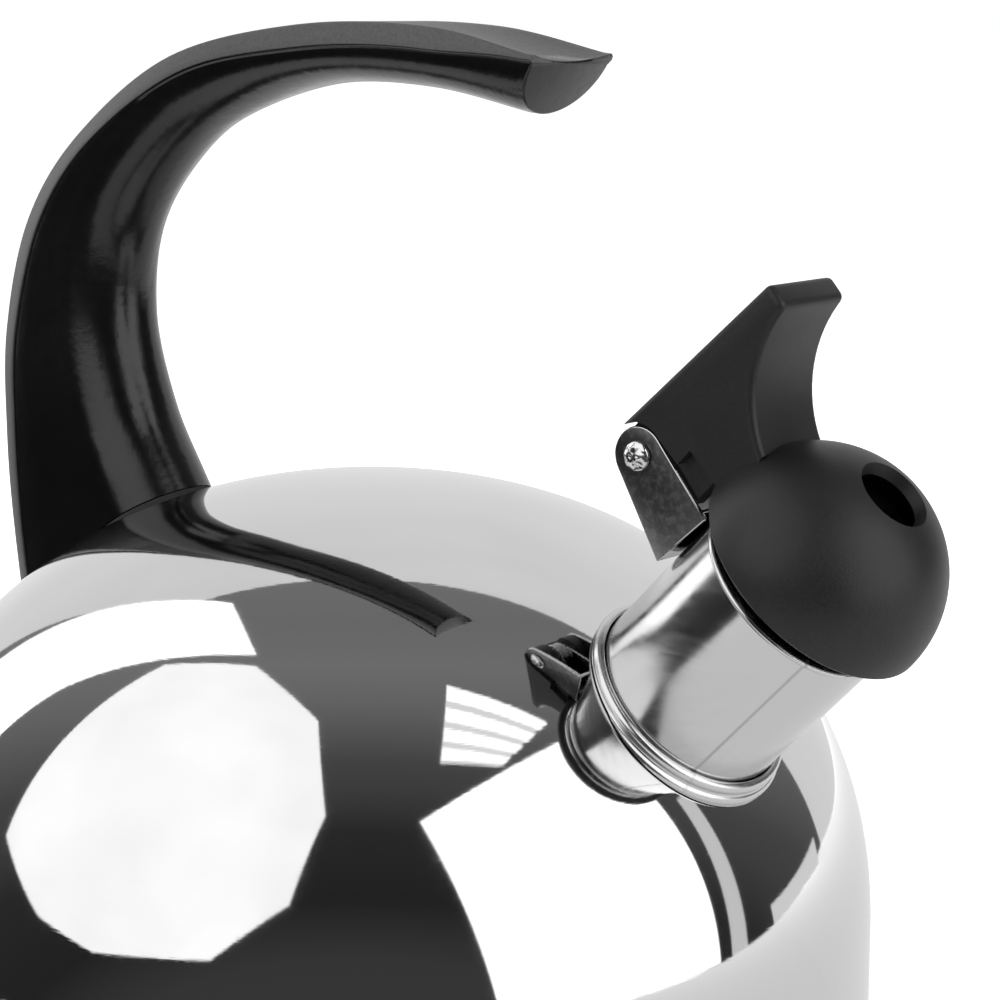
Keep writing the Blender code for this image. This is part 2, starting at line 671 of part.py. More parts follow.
def make_handle(phenolic, pad):
    grip = handle_solid("handle_grip", phenolic)
    foot = dome_solid("handle_foot_cutter", GASKET_T + 2 * GAP)
    cut(grip, foot, tongue_block("tongue_pocket_cutter", GAP))
    gasket = handle_solid("handle_gasket", pad)
    boolean(gasket, dome_solid("gasket_top_cutter", GASKET_T + GAP), "INTERSECT")
    window = saddle_block("gasket_window_cutter", GAP, 0.5 * WAIST_Z, TONGUE_TOP_Z)
    cut(gasket, dome_solid("gasket_seat_cutter", GAP), window)
    shank_end = TONGUE_X + 2 * TONGUE_T
    for z, name in zip(HANDLE_SCREW_Z, ("lower", "upper")):
        clear_r = HANDLE_SCREW_R + SCREW_CLEARANCE
        through = rod(clear_r, HANDLE_SCREW_SEAT_X - CUTTER_OVER, shank_end)
        counterbore = rod(WASHER_R + SCREW_CLEARANCE, -2 * BODY_R, HANDLE_SCREW_SEAT_X)
        cut(grip, along_x(turned(f"screw_way_cutter_{name}", through, segments=14), z))
        cut(grip, along_x(turned(f"counterbore_cutter_{name}", counterbore, segments=24), z))


def make_handle_bracket(steel):
    bracket = saddle_block("handle_bracket", 0.0, BODY_EDGE_Z, TONGUE_TOP_Z)
    bracket.data.materials.append(steel)
    boolean(bracket, dome_solid("saddle_top_cutter", GASKET_T + GAP), "INTERSECT")
    cut(bracket, dome_solid("saddle_seat_cutter", GAP))
    tongue = tongue_block("tongue_joiner", 0.0)
    cut(tongue, dome_solid("tongue_foot_cutter", 0.5 * GASKET_T + GAP))
    join(bracket, tongue)
    for z, name in zip(HANDLE_SCREW_Z, ("lower", "upper")):
        way = rod(HANDLE_SCREW_R + SCREW_CLEARANCE, TONGUE_X - 2 * TONGUE_T, TONGUE_X + 2 * TONGUE_T)
        cut(bracket, along_x(turned(f"tongue_hole_cutter_{name}", way, segments=14), z))


def make_handle_screws(steel):
    washer_low = HANDLE_SCREW_SEAT_X - GAP - WASHER_T
    head_low = washer_low - GAP - HANDLE_SCREW_HEAD_T
    inner_r = HANDLE_SCREW_R + SCREW_CLEARANCE
    washer = [(inner_r, washer_low), (WASHER_R, washer_low)]
    washer += [(WASHER_R, washer_low + WASHER_T), (inner_r, washer_low + WASHER_T)]
    head_end = head_low + HANDLE_SCREW_HEAD_T
    screw = [(0, head_low), (HANDLE_SCREW_HEAD_R - HANDLE_SCREW_CHAMFER, head_low)]
    screw.append((HANDLE_SCREW_HEAD_R, head_low + HANDLE_SCREW_CHAMFER))
    screw += [(HANDLE_SCREW_HEAD_R, head_end), (HANDLE_SCREW_R, head_end)]
    screw += [(HANDLE_SCREW_R, TONGUE_X + 1.5 * TONGUE_T), (0, TONGUE_X + 1.5 * TONGUE_T)]
    for z, name in zip(HANDLE_SCREW_Z, ("lower", "upper")):
        along_x(turned(f"handle_washer_{name}", washer, steel, 16), z)
        along_x(turned(f"handle_screw_{name}", screw, steel, 16), z)


# --- assembly ---
def spout_matrix():
    """The spout's frame: Z along the spout, X across it, up and back."""
    along = Vector((math.cos(SPOUT_TILT), 0, math.sin(SPOUT_TILT)))
    up = Vector((-math.sin(SPOUT_TILT), 0, math.cos(SPOUT_TILT)))
    matrix = Matrix((up, along.cross(up), along)).transposed().to_4x4()
    matrix.translation = Vector((SPOUT_FOOT_X, 0, dome_height(SPOUT_FOOT_X)))
    return matrix


def make_hinge_empty(spout_frame):
    """The axis that the cap turns on."""
    hinge = bpy.data.objects.new("cap_hinge", None)
    bpy.context.scene.collection.objects.link(hinge)
    hinge.matrix_world = spout_frame @ Matrix.Translation((PIVOT_UP, 0, PIVOT_H))
    bpy.context.view_layer.update()
    return hinge


def main():
    clear_scene()
    polished = make_material("polished_steel", POLISHED, 0.06, 1.0)
    brushed = make_material("plain_steel", BRUSHED, 0.3, 1.0)
    aluminium = make_material("aluminium", ALUMINIUM, 0.4, 1.0)
    spring_steel = make_material("spring_steel", SPRING_STEEL, 0.25, 1.0)
    phenolic = make_material("phenolic", PHENOLIC, 0.2, 0.0)
    cap_plastic = make_material("cap_plastic", CAP_BLACK, 0.5, 0.0)
    pad = make_material("heat_pad", PAD_BLACK, 0.8, 0.0)
    spout_frame = spout_matrix()
    hinge = make_hinge_empty(spout_frame)
    make_body(polished, spout_frame)
    make_base(polished, aluminium)
    make_spout(polished, spout_frame)
    make_collar(polished, spout_frame)
    make_bracket(polished, spout_frame)
    make_rivet(polished, spout_frame)
    make_sleeve(brushed, spout_frame)
    make_spring(spring_steel, spout_frame)
    make_cap(cap_plastic, hinge)
    make_whistle(brushed, hinge)
    make_handle(phenolic, pad)
    make_handle_bracket(brushed)
    make_handle_screws(brushed)


main()
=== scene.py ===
"""Looks for the whistling kettle: fine meshes, finishes, a pale floor and soft studio light."""

import math

import bmesh
import bpy
from mathutils import Matrix, Vector, noise


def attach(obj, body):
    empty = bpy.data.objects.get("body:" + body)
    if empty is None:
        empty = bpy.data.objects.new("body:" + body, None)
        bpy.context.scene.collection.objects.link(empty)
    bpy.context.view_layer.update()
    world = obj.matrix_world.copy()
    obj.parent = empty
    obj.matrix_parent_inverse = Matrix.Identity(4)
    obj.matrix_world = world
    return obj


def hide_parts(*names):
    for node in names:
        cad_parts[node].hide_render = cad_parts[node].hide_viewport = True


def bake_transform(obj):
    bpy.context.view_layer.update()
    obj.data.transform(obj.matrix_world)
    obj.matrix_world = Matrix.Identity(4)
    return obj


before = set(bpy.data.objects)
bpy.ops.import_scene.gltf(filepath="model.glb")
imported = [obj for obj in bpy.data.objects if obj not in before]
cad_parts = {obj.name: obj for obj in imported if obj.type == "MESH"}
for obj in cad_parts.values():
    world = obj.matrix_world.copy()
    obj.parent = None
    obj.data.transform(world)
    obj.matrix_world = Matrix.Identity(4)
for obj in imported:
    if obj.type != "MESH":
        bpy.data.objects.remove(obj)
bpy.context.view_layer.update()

# --- sizes of the kettle, in metres ----------------------------------------------------------------------
GAP = 0.0003
BODY_R = 0.110
BODY_WALL = 0.0008
WAIST_Z = 0.0437
DOME_H = 0.0963
DOME_POWER = 2.14
BODY_EDGE_Z = 0.028
BODY_EDGE_CHAMFER = 0.0002
CORNER_R = 0.022
CORE_H = 0.0045
CAPSULE_WALL = 0.0006
CAPSULE_R = 0.092
CAPSULE_CORNER_R = 0.0012
PAN_LOW_Z = CAPSULE_WALL + CORE_H + 2 * GAP
PAN_FLAT_R = BODY_R - CORNER_R

SPOUT_TILT = math.radians(45.3)
SPOUT_FOOT_X = 0.0866
SPOUT_R = 0.0206
SPOUT_WALL = 0.0008
SPOUT_LENGTH = 0.0362
SPOUT_INSERT = 0.0058
LIP_R = 0.0006
SEAM_ANGLE = math.radians(-137)  # about the spout's axis, from its upper side
SEAM_HALF = (0.003, 0.022)  # half widths of the seam's line and of its soft edge, in radians
BEAD_R = 0.0013
COLLAR_SEAT_H = -0.0030
LOWER_BEAD_OUT = 1.0 * BEAD_R  # out from the collar's bore, as is the next one
UPPER_BEAD_OUT = 0.3 * BEAD_R
UPPER_BEAD_RISE = 1.9 * BEAD_R
COLLAR_TOP_RISE = 0.9 * BEAD_R
COLLAR_SKIRT = 4 * BEAD_R  # below the seat before the dome cuts it away

BRACKET_HALF_W = 0.0095
BRACKET_T = 0.001
BRACKET_LOW_H = 0.0187
BRACKET_HIGH_H = 0.0335
BRACKET_EDGE = 0.00034  # roundness of its edges
BRACKET_LOW_UP = SPOUT_R + GAP
EAR_LOW_UP = BRACKET_LOW_UP - 0.0013
EAR_R = 0.0058
EAR_INNER_Y = BRACKET_HALF_W - BRACKET_T
PIVOT_H = 0.0298
PIVOT_UP = 0.0384
RIVET_R = 0.0016
RIVET_HEAD_R = 0.0030
RIVET_HEAD_T = 0.0015
RIVET_RIM_T = 0.00025
RIVET_CROWN_DROP = 0.0001
RIVET_DENT = 0.00022  # depth of the hammer marks
SLEEVE_R = RIVET_R + GAP + 0.0007
LUG_R = 0.0052
LUG_T = 0.004
LUG_FRONT_UP = 0.0240
LUG_FRONT_H = 0.0322
LUG_OVERLAP = 0.0015
LUG_HOLE_R = SLEEVE_R + GAP
LUG_OUTER_Y = EAR_INNER_Y - GAP
LUG_INNER_Y = LUG_OUTER_Y - LUG_T
WIRE_R = 0.00045
SPRING_TURNS = 4
SPRING_TURN_GAP = 0.0002
SPRING_FOOT_LENGTH = 0.0012
SPRING_FOOT_RISE = 0.002
SPRING_BEND = 0.0006
BORE_HALF = 0.02  # half length of the cutters along the rivet

CAP_RIM_H = 0.0402
CAP_R = 0.0249
CAP_WALL = 0.0024
CAP_INNER_R = CAP_R - CAP_WALL
CAP_HOLE_R = 0.0061
CAP_HOLE_MOUTH_R = 0.0075
CAP_HOLE_TAPER = 0.0030
CAP_EDGE = 0.0005
CUTTER_OVER = 0.003  # how far a cutter runs past the face that it opens
LEVER_HALF_W = 0.0105
LEVER_UNDER_UP = 0.0310
LEVER_TIP = (0.0451, 0.0314)
LEVER_TOP = (0.0420, 0.0760)
LEVER_LIP = (0.0366, 0.0756)
LEVER_EDGE = 0.0014  # roundness of its outer edges
LEVER_ROOT_SHARE = 0.7  # of the cap's radius, where the lever's underside ends inside the cap
FINGER_FOOT_SHARE = 0.8  # of the cap's radius, where the finger hollow meets the cap
FINGER_R = 0.0258
EAR_CLEARANCE = 0.0009
LEVER_UNDER_H = PIVOT_H + EAR_R + EAR_CLEARANCE
LEVER_FRONT_H = CAP_RIM_H + 0.0005
PLATE_LOW_H = CAP_RIM_H - 0.0008
PLATE_T = 0.0008
PLATE_RIM_H = 0.003
PLATE_EDGE = 0.0003
STEAM_HOLE_R = 0.003
POST_OFFSET = 0.0165
POST_R = 0.0021
WHISTLE_SCREW_R = 0.0012
WHISTLE_SCREW_END = 0.0055
WHISTLE_HEAD_R = 0.0022
WHISTLE_HEAD_T = 0.001
WHISTLE_HEAD_FLAT_R = 0.0015
WHISTLE_HEAD_RIM_T = 0.0004

HANDLE_W = 0.026
HANDLE_FOOT_W = 0.030
HANDLE_BAND = 0.0047
HANDLE_STEP = 0.0004
BAND_LEAN = 0.30  # slope of the band, which widens towards the crease
BAND_THINNING = 0.75  # share of the band's height that is lost towards the handle's end
BAND_SWELL = 0.0013  # extra height at the handle's upper back
DISH = 0.0016  # hollow of the outer face at the handle's end
HANDLE_EDGE_R = 0.0006
CREASE = 0.0001
FLANK_TAPER = 0.97
NOSE_LENGTH = 1.1
GASKET_T = 0.0015
HANDLE_SCREW_Z = (0.120, 0.133)
HANDLE_SCREW_SEAT_X = -0.0945
WASHER_R = 0.0037
WASHER_HOLE_R = 0.0022
WASHER_T = 0.0008
SCREW_R = 0.0019
SCREW_TIP_X = -0.08
SCREW_HEAD_R = 0.0032
SCREW_HEAD_T = 0.0022
SCREW_HEAD_CHAMFER = 0.0006
SCREW_SOCKET_R = 0.0013
SCREW_SOCKET_DEPTH = 0.0012
HANDLE_OUTER = (
    (-0.0950, 0.070), (-0.1027, 0.116), (-0.1053, 0.142), (-0.1047, 0.167), (-0.0960, 0.1918),
    (-0.0775, 0.2117), (-0.0470, 0.2291), (-0.0080, 0.2360), (0.0280, 0.2357), (0.0568, 0.2301),
)
HANDLE_INNER = (
    (-0.0388, 0.108), (-0.0557, 0.134), (-0.0650, 0.150), (-0.0704, 0.170), (-0.0669, 0.1903),
    (-0.0526, 0.2068), (-0.0345, 0.2167), (-0.0070, 0.2236), (0.0220, 0.2233), (0.0492, 0.2184),
)

BODY_SEGMENTS = 240
ROUND_SEGMENTS = 160
SMALL_SEGMENTS = 48


# --- node trees --------------------------------------------------------------------------------------
def add_node(tree, kind, inputs=None, **settings):
    """A node with its settings, and each input either linked or set."""
    node = tree.nodes.new(kind)
    for key, value in settings.items():
        setattr(node, key, value)
    for key, value in (inputs or {}).items():
        if isinstance(value, bpy.types.NodeSocket):
            tree.links.new(value, node.inputs[key])
        else:
            node.inputs[key].default_value = value
    return node


class Tree:
    """A node tree for geometry, with named inputs for its sizes."""

    def __init__(self, name, inputs):
        self.tree = bpy.data.node_groups.new(name, "GeometryNodeTree")
        sockets = self.tree.interface
        sockets.new_socket("Geometry", in_out="INPUT", socket_type="NodeSocketGeometry")
        sockets.new_socket("Geometry", in_out="OUTPUT", socket_type="NodeSocketGeometry")
        for label, (kind, value) in inputs.items():
            item = sockets.new_socket(label, in_out="INPUT", socket_type=f"NodeSocket{kind}")
            if value is not None:
                item.default_value = value
        self.input = self.tree.nodes.new("NodeGroupInput")
        self.output = self.tree.nodes.new("NodeGroupOutput")

    def add(self, kind, inputs=None, **settings):
        return add_node(self.tree, kind, inputs, **settings)

    def sum(self, operation, first, second):
        return self.add("ShaderNodeMath", {0: first, 1: second}, operation=operation).outputs[0]

    def end(self, geometry):
        """Makes instances real, sets the material and closes the tree."""
        real = self.add("GeometryNodeRealizeInstances", {"Geometry": geometry})
        values = {"Geometry": real.outputs[0], "Material": self.input.outputs["Material"]}
        done = self.add("GeometryNodeSetMaterial", values)
        self.tree.links.new(done.outputs[0], self.output.inputs[0])
        return self.tree


def lathe_tree():
    """Turns the profile's points, which lie in the XZ plane, about Z."""
    lathe = Tree("lathe", {"Segments": ("Int", 64), "Material": ("Material", None)})
    profile = lathe.input.outputs["Geometry"]
    segments = lathe.input.outputs["Segments"]
    count = lathe.add("GeometryNodeAttributeDomainSize", {"Geometry": profile}).outputs["Point Count"]
    columns = lathe.sum("ADD", segments, 1)
    grid = lathe.add("GeometryNodeMeshGrid", {"Vertices X": columns, "Vertices Y": count})
    index = lathe.add("GeometryNodeInputIndex").outputs[0]
    row = lathe.sum("MODULO", index, count)
    column = lathe.sum("FLOOR", lathe.sum("DIVIDE", index, count), 0)
    turn = lathe.sum("DIVIDE", lathe.sum("MULTIPLY", column, 2 * math.pi), segments)
    place = lathe.add("GeometryNodeInputPosition").outputs[0]
    values = {"Geometry": profile, "Value": place, "Index": row}
    sample = lathe.add("GeometryNodeSampleIndex", values, data_type="FLOAT_VECTOR")
    values = {"Vector": sample.outputs[0], "Angle": turn}
    spun = lathe.add("ShaderNodeVectorRotate", values, rotation_type="Z_AXIS")
    values = {"Geometry": grid.outputs["Mesh"], "Position": spun.outputs[0]}
    moved = lathe.add("GeometryNodeSetPosition", values)
    merged = lathe.add("GeometryNodeMergeByDistance", {"Geometry": moved.outputs[0], "Distance": 2e-6})
    return lathe.end(merged.outputs[0])


def wire_tree():
    """Sweeps a round wire along the path."""
    inputs = {"Wire radius": ("Float", 0.001), "Sides": ("Int", 12), "Material": ("Material", None)}
    wire = Tree("wire", inputs)
    path = wire.add("GeometryNodeMeshToCurve", {"Mesh": wire.input.outputs["Geometry"]})
    ring = wire.add(
        "GeometryNodeCurvePrimitiveCircle",
        {"Resolution": wire.input.outputs["Sides"], "Radius": wire.input.outputs["Wire radius"]},
    )
    swept = wire.add(
        "GeometryNodeCurveToMesh",
        {"Curve": path.outputs[0], "Profile Curve": ring.outputs["Curve"], "Fill Caps": True},
    )
    return wire.end(swept.outputs[0])


def row_tree():
    """Puts a copy of a fitting at each point."""
    row = Tree("row", {"Fitting": ("Object", None), "Material": ("Material", None)})
    fitting = row.add("GeometryNodeObjectInfo", {"Object": row.input.outputs["Fitting"], "As Instance": True})
    placed = row.add(
        "GeometryNodeInstanceOnPoints",
        {"Points": row.input.outputs["Geometry"], "Instance": fitting.outputs["Geometry"]},
    )
    return row.end(placed.outputs[0])


LATHE = lathe_tree()
WIRE = wire_tree()
ROW = row_tree()


# --- mesh tools ------------------------------------------------------------------------------------------
def linked(name, mesh):
    obj = bpy.data.objects.new(name, mesh)
    bpy.context.scene.collection.objects.link(obj)
    return obj


def points_object(name, points, joined=True):
    mesh = bpy.data.meshes.new(name)
    edges = [(i, i + 1) for i in range(len(points) - 1)] if joined else []
    mesh.from_pydata([tuple(p) for p in points], edges, [])
    return linked(name, mesh)


def settled(obj):
    """Replaces the object's mesh by what its modifiers make of it."""
    bpy.context.view_layer.update()
    graph = bpy.context.evaluated_depsgraph_get()
    mesh = bpy.data.meshes.new_from_object(obj.evaluated_get(graph))
    obj.modifiers.clear()
    obj.data = mesh
    return obj


def grown(name, points, tree, inputs, joined=True):
    """A mesh object made by a geometry tree from some points."""
    obj = points_object(name, points, joined)
    modifier = obj.modifiers.new(tree.name, "NODES")
    modifier.node_group = tree
    for item in tree.interface.items_tree:
        if item.item_type == "SOCKET" and item.in_out == "INPUT" and item.name in inputs:
            modifier[item.identifier] = inputs[item.name]
    return settled(obj)


def tidy(obj, sharp=35):
    """Faces outwards, smooth, with creases where faces meet at more than the sharp angle."""
    work_mesh = bmesh.new()
    work_mesh.from_mesh(obj.data)
    bmesh.ops.remove_doubles(work_mesh, verts=work_mesh.verts, dist=1e-7)
    bmesh.ops.recalc_face_normals(work_mesh, faces=work_mesh.faces)
    work_mesh.to_mesh(obj.data)
    work_mesh.free()
    obj.data.shade_smooth()
    obj.data.set_sharp_from_angle(angle=math.radians(sharp))
    return obj


def turned(name, outline, material, segments=ROUND_SEGMENTS, sharp=35):
    """Turns an outline of (radius, height) points about Z. An outline off the axis is closed first."""
    points = [(radius, 0, height) for radius, height in outline]
    if outline[0][0] > 0 and outline[-1][0] > 0:
        points.append(points[0])
    return tidy(grown(name, points, LATHE, {"Segments": segments, "Material": material}), sharp)


def joined_loops(work_mesh, low, high):
    for i in range(len(low)):
        j = (i + 1) % len(low)
        work_mesh.faces.new((low[i], low[j], high[j], high[i]))


def extruded(outline, low_y, high_y):
    """Extrudes an outline of (x, z) points along Y, and gives the two end loops too."""
    work_mesh = bmesh.new()
    low = [work_mesh.verts.new((x, low_y, z)) for x, z in outline]
    high = [work_mesh.verts.new((x, high_y, z)) for x, z in outline]
    work_mesh.faces.new(low)
    work_mesh.faces.new(high)
    joined_loops(work_mesh, low, high)
    bmesh.ops.recalc_face_normals(work_mesh, faces=work_mesh.faces)
    return work_mesh, low, high


def finished(name, work_mesh, material=None):
    mesh = bpy.data.meshes.new(name)
    work_mesh.to_mesh(mesh)
    work_mesh.free()
    if material:
        mesh.materials.append(material)
    return linked(name, mesh)


def prism(name, outline, low_y, high_y, material=None):
    return finished(name, extruded(outline, low_y, high_y)[0], material)


def arc(centre, radius, start, end, steps):
    """Points on a circle from one angle to another, in degrees."""
    angles = [math.radians(start + (end - start) * i / steps) for i in range(steps + 1)]
    return [(centre[0] + radius * math.cos(a), centre[1] + radius * math.sin(a)) for a in angles]


def curve_points(points, steps):
    """Points on a smooth curve through the given ones."""
    ends = [2 * Vector(points[0]) - Vector(points[1]), *map(Vector, points)]
    ends.append(2 * Vector(points[-1]) - Vector(points[-2]))
    found = []
    for a, b, c, d in zip(ends, ends[1:], ends[2:], ends[3:]):
        for i in range(steps):
            t = i / steps
            found.append(
                b + 0.5 * t * ((c - a) + t * ((2 * a - 5 * b + 4 * c - d) + t * (3 * (b - c) + d - a)))
            )
    found.append(Vector(points[-1]))
    return found


def placed(obj, matrix):
    """Moves the mesh itself, so that the object stays at the origin."""
    obj.data.transform(matrix)
    obj.data.update()
    return obj


def carved(obj, other, operation="DIFFERENCE", solver="EXACT"):
    """Applies a Boolean with another object, which is used up."""
    modifier = obj.modifiers.new(operation, "BOOLEAN")
    modifier.operation = operation
    modifier.object = other
    modifier.solver = solver
    settled(obj)
    bpy.data.objects.remove(other)
    return obj


def bevelled(obj, width):
    modifier = obj.modifiers.new("bevel", "BEVEL")
    modifier.width = width
    modifier.segments = 3
    modifier.limit_method = "ANGLE"
    modifier.angle_limit = math.radians(30)
    return settled(obj)


def fitted(obj, body, slot, *nodes):
    """Rides on a body and stands for CAD nodes. The slot argument is not used."""
    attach(obj, body)
    if nodes:
        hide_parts(*nodes)
    return obj


def rod(radius, low, high):
    return [(0, low), (radius, low), (radius, high), (0, high)]


# --- places ----------------------------------------------------------------------------------------------
def dome_height(radius):
    angle = math.asin((radius / BODY_R) ** (DOME_POWER / 2))
    return WAIST_Z + DOME_H * math.cos(angle) ** (2 / DOME_POWER)


def spout_matrix():
    """The spout's frame: Z along the spout, X across it, up and back."""
    along = Vector((math.cos(SPOUT_TILT), 0, math.sin(SPOUT_TILT)))
    up = Vector((-math.sin(SPOUT_TILT), 0, math.cos(SPOUT_TILT)))
    matrix = Matrix((up, along.cross(up), along)).transposed().to_4x4()
    matrix.translation = Vector((SPOUT_FOOT_X, 0, dome_height(SPOUT_FOOT_X)))
    return matrix


SPOUT = spout_matrix()
ACROSS = Matrix.Translation((PIVOT_UP, 0, PIVOT_H)) @ Matrix.Rotation(math.pi / 2, 4, "X")
CROSSWISE = SPOUT @ ACROSS


# --- finishes --------------------------------------------------------------------------------------------
def color_ramp(tree, value, stops):
    """A color for the value, from (value, grey level or color) stops."""
    node = add_node(tree, "ShaderNodeValToRGB", {"Fac": value})
    elements = node.color_ramp.elements
    while len(elements) < len(stops):
        elements.new(0.5)
    for element, (place, level) in zip(elements, stops):
        element.position = place
        color = level if isinstance(level, tuple) else (level, level, level)
        element.color = (*color, 1)
    return node.outputs["Color"]


def map_range(tree, value, old, new, **settings):
    values = {"Value": value, "From Min": old[0], "From Max": old[1], "To Min": new[0], "To Max": new[1]}
    return add_node(tree, "ShaderNodeMapRange", values, **settings).outputs[0]


class Finish:
    """A node material with helpers for its grain."""

    def __init__(self, name, color, metallic, roughness):
        self.material = bpy.data.materials.new(name)
        self.material.use_nodes = True
        self.tree = self.material.node_tree
        self.shader = self.tree.nodes["Principled BSDF"]
        self.shader.inputs["Base Color"].default_value = (*color, 1)
        self.shader.inputs["Metallic"].default_value = metallic
        self.shader.inputs["Roughness"].default_value = roughness
        self.material.diffuse_color = (*color, 1)
        self.place = self.add("ShaderNodeTexCoord").outputs["Object"]
        self.normal = None

    def add(self, kind, inputs=None, **settings):
        return add_node(self.tree, kind, inputs, **settings)

    def mapped(self, scale, rotation=(0, 0, 0)):
        values = {"Vector": self.place, "Scale": scale, "Rotation": rotation}
        return self.add("ShaderNodeMapping", values).outputs[0]

    def noise(self, scale, detail=2.0, vector=None, roughness=0.5):
        values = {"Vector": vector or self.place, "Scale": scale, "Detail": detail, "Roughness": roughness}
        return self.add("ShaderNodeTexNoise", values).outputs["Fac"]

    def ramp(self, value, stops):
        return color_ramp(self.tree, value, stops)

    def range(self, value, low, high, from_low=0.3, from_high=0.7):
        return map_range(self.tree, value, (from_low, from_high), (low, high))

    def bump(self, height, strength, distance):
        values = {"Height": height, "Strength": strength, "Distance": distance}
        if self.normal:
            values["Normal"] = self.normal
        self.normal = self.add("ShaderNodeBump", values).outputs[0]

    def math(self, operation, first, second=0.0):
        return self.add("ShaderNodeMath", {0: first, 1: second}, operation=operation).outputs[0]

    def vector(self, operation, first, second):
        return self.add("ShaderNodeVectorMath", {0: first, 1: second}, operation=operation)

    def blend(self, share, first, second):
        return map_range(self.tree, share, (0.0, 1.0), (first, second))

    def set(self, socket, value):
        self.tree.links.new(value, self.shader.inputs[socket])

    def done(self):
        if self.normal:
            self.tree.links.new(self.normal, self.shader.inputs["Normal"])
        return self.material


def mirror_steel():
    """Polished stainless sheet: nearly a mirror, with faint haze and hairline marks."""
    steel = Finish("mirror_steel", (0.68, 0.68, 0.68), 1.0, 0.04)
    haze = steel.noise(34, 3)
    hairs = steel.noise(260, 2, steel.mapped((1, 1, 14), (0.3, 0.2, 0)), 0.6)
    level = steel.math("ADD", steel.range(haze, 0.022, 0.05), steel.range(hairs, 0, 0.03, 0.6, 0.75))
    steel.set("Roughness", level)
    steel.bump(steel.noise(9, 1), 0.12, 0.0016)
    steel.bump(hairs, 0.02, 0.0001)
    return steel.done()


def drawn_steel(name, softness, seam_tone):
    """Stainless tube polished along its length: softer than the body, with fine lines and a dressed seam."""
    steel = Finish(name, (0.63, 0.63, 0.625), 1.0, 0.1)
    tilt = (0, -SPOUT_TILT, 0)
    lines = steel.noise(420, 3, steel.mapped((0.06, 1, 1), tilt), 0.65)
    haze = steel.noise(60, 3, steel.mapped((0.35, 1, 1), tilt))
    local = steel.vector("SUBTRACT", steel.place, tuple(SPOUT.translation)).outputs[0]
    up = steel.vector("DOT_PRODUCT", local, tuple(SPOUT.col[0][:3])).outputs["Value"]
    side = steel.vector("DOT_PRODUCT", local, (0, 1, 0)).outputs["Value"]
    around = steel.math("ARCTAN2", side, up)
    off_seam = steel.math("ABSOLUTE", steel.math("SUBTRACT", around, SEAM_ANGLE))
    seam = steel.range(off_seam, 1.0, 0.0, *SEAM_HALF)
    level = steel.math("ADD", steel.range(haze, softness, softness + 0.07), steel.range(lines, 0, 0.08))
    steel.set("Roughness", steel.math("ADD", level, steel.math("MULTIPLY", seam, 0.15)))
    steel.set("Base Color", steel.ramp(seam, [(0.0, 0.63), (1.0, seam_tone)]))
    steel.bump(lines, 0.08, 0.00015)
    steel.bump(steel.noise(45, 2, steel.mapped((0.25, 1, 1), tilt)), 0.1, 0.0006)
    steel.bump(seam, 0.25, 0.0001)
    return steel.done()


def pressed_steel():
    """Stainless fasteners and discs, tumbled and lightly scuffed."""
    steel = Finish("pressed_steel", (0.6, 0.6, 0.595), 1.0, 0.2)
    scuffs = steel.noise(520, 4, None, 0.7)
    blotches = steel.noise(140, 3)
    level = steel.math("ADD", steel.range(blotches, 0.12, 0.22), steel.range(scuffs, 0, 0.14, 0.45, 0.75))
    steel.set("Roughness", level)
    steel.bump(scuffs, 0.18, 0.00012)
    return steel.done()


def hinge_steel():
    """Stainless strip of the hinge: duller flat sides whose lowered tone is a painted reflection of the dim
    room they face, edges at the steel's own tone, a few fine scuffs.
    """
    steel = Finish("hinge_steel", (0.56, 0.56, 0.555), 1.0, 0.08)
    facing = steel.add("ShaderNodeTexCoord").outputs["Normal"]
    sideways = steel.math("ABSOLUTE", steel.add("ShaderNodeSeparateXYZ", {0: facing}).outputs["Y"])
    scuffs = steel.noise(700, 4, None, 0.7)
    blotches = steel.noise(160, 3)
    flat = steel.range(sideways, 0.0, 1.0, 0.93, 0.995)
    # Painted reflection: the flat sides' lowered tone stands for the dim room they mirror; the scuffs vary
    # it.
    painted_dark_reflection = steel.range(scuffs, 0.12, 0.24, 0.45, 0.8)
    tone = steel.blend(flat, 0.6, painted_dark_reflection)
    steel.set("Base Color", steel.ramp(tone, [(0.0, 0.0), (1.0, 1.0)]))
    level = steel.math("ADD", steel.blend(flat, 0.08, 0.30), steel.range(scuffs, 0, 0.08, 0.5, 0.8))
    steel.set("Roughness", level)
    steel.bump(blotches, 0.05, 0.0002)
    steel.bump(scuffs, 0.05, 0.00008)
    return steel.done()


def rivet_steel():
    """Stainless rivet wire with hammered heads: bright, with small dents."""
    steel = Finish("rivet_steel", (0.66, 0.66, 0.655), 1.0, 0.14)
    dents = steel.noise(650, 2, None, 0.6)
    steel.set("Roughness", steel.range(steel.noise(1500, 3), 0.10, 0.24))
    steel.bump(dents, 0.5, 0.0002)
    return steel.done()


def cast_aluminium():
    metal = Finish("aluminium_disc", (0.72, 0.73, 0.74), 1.0, 0.4)
    rings = metal.noise(300, 3, metal.mapped((1, 1, 8)))
    metal.set("Roughness", metal.range(rings, 0.32, 0.48))
    metal.bump(rings, 0.2, 0.0001)
    return metal.done()


def spring_steel():
    metal = Finish("spring_steel", (0.5, 0.5, 0.51), 1.0, 0.25)
    marks = metal.noise(900, 3)
    metal.set("Roughness", metal.range(marks, 0.18, 0.34))
    metal.bump(marks, 0.15, 0.00005)
    return metal.done()


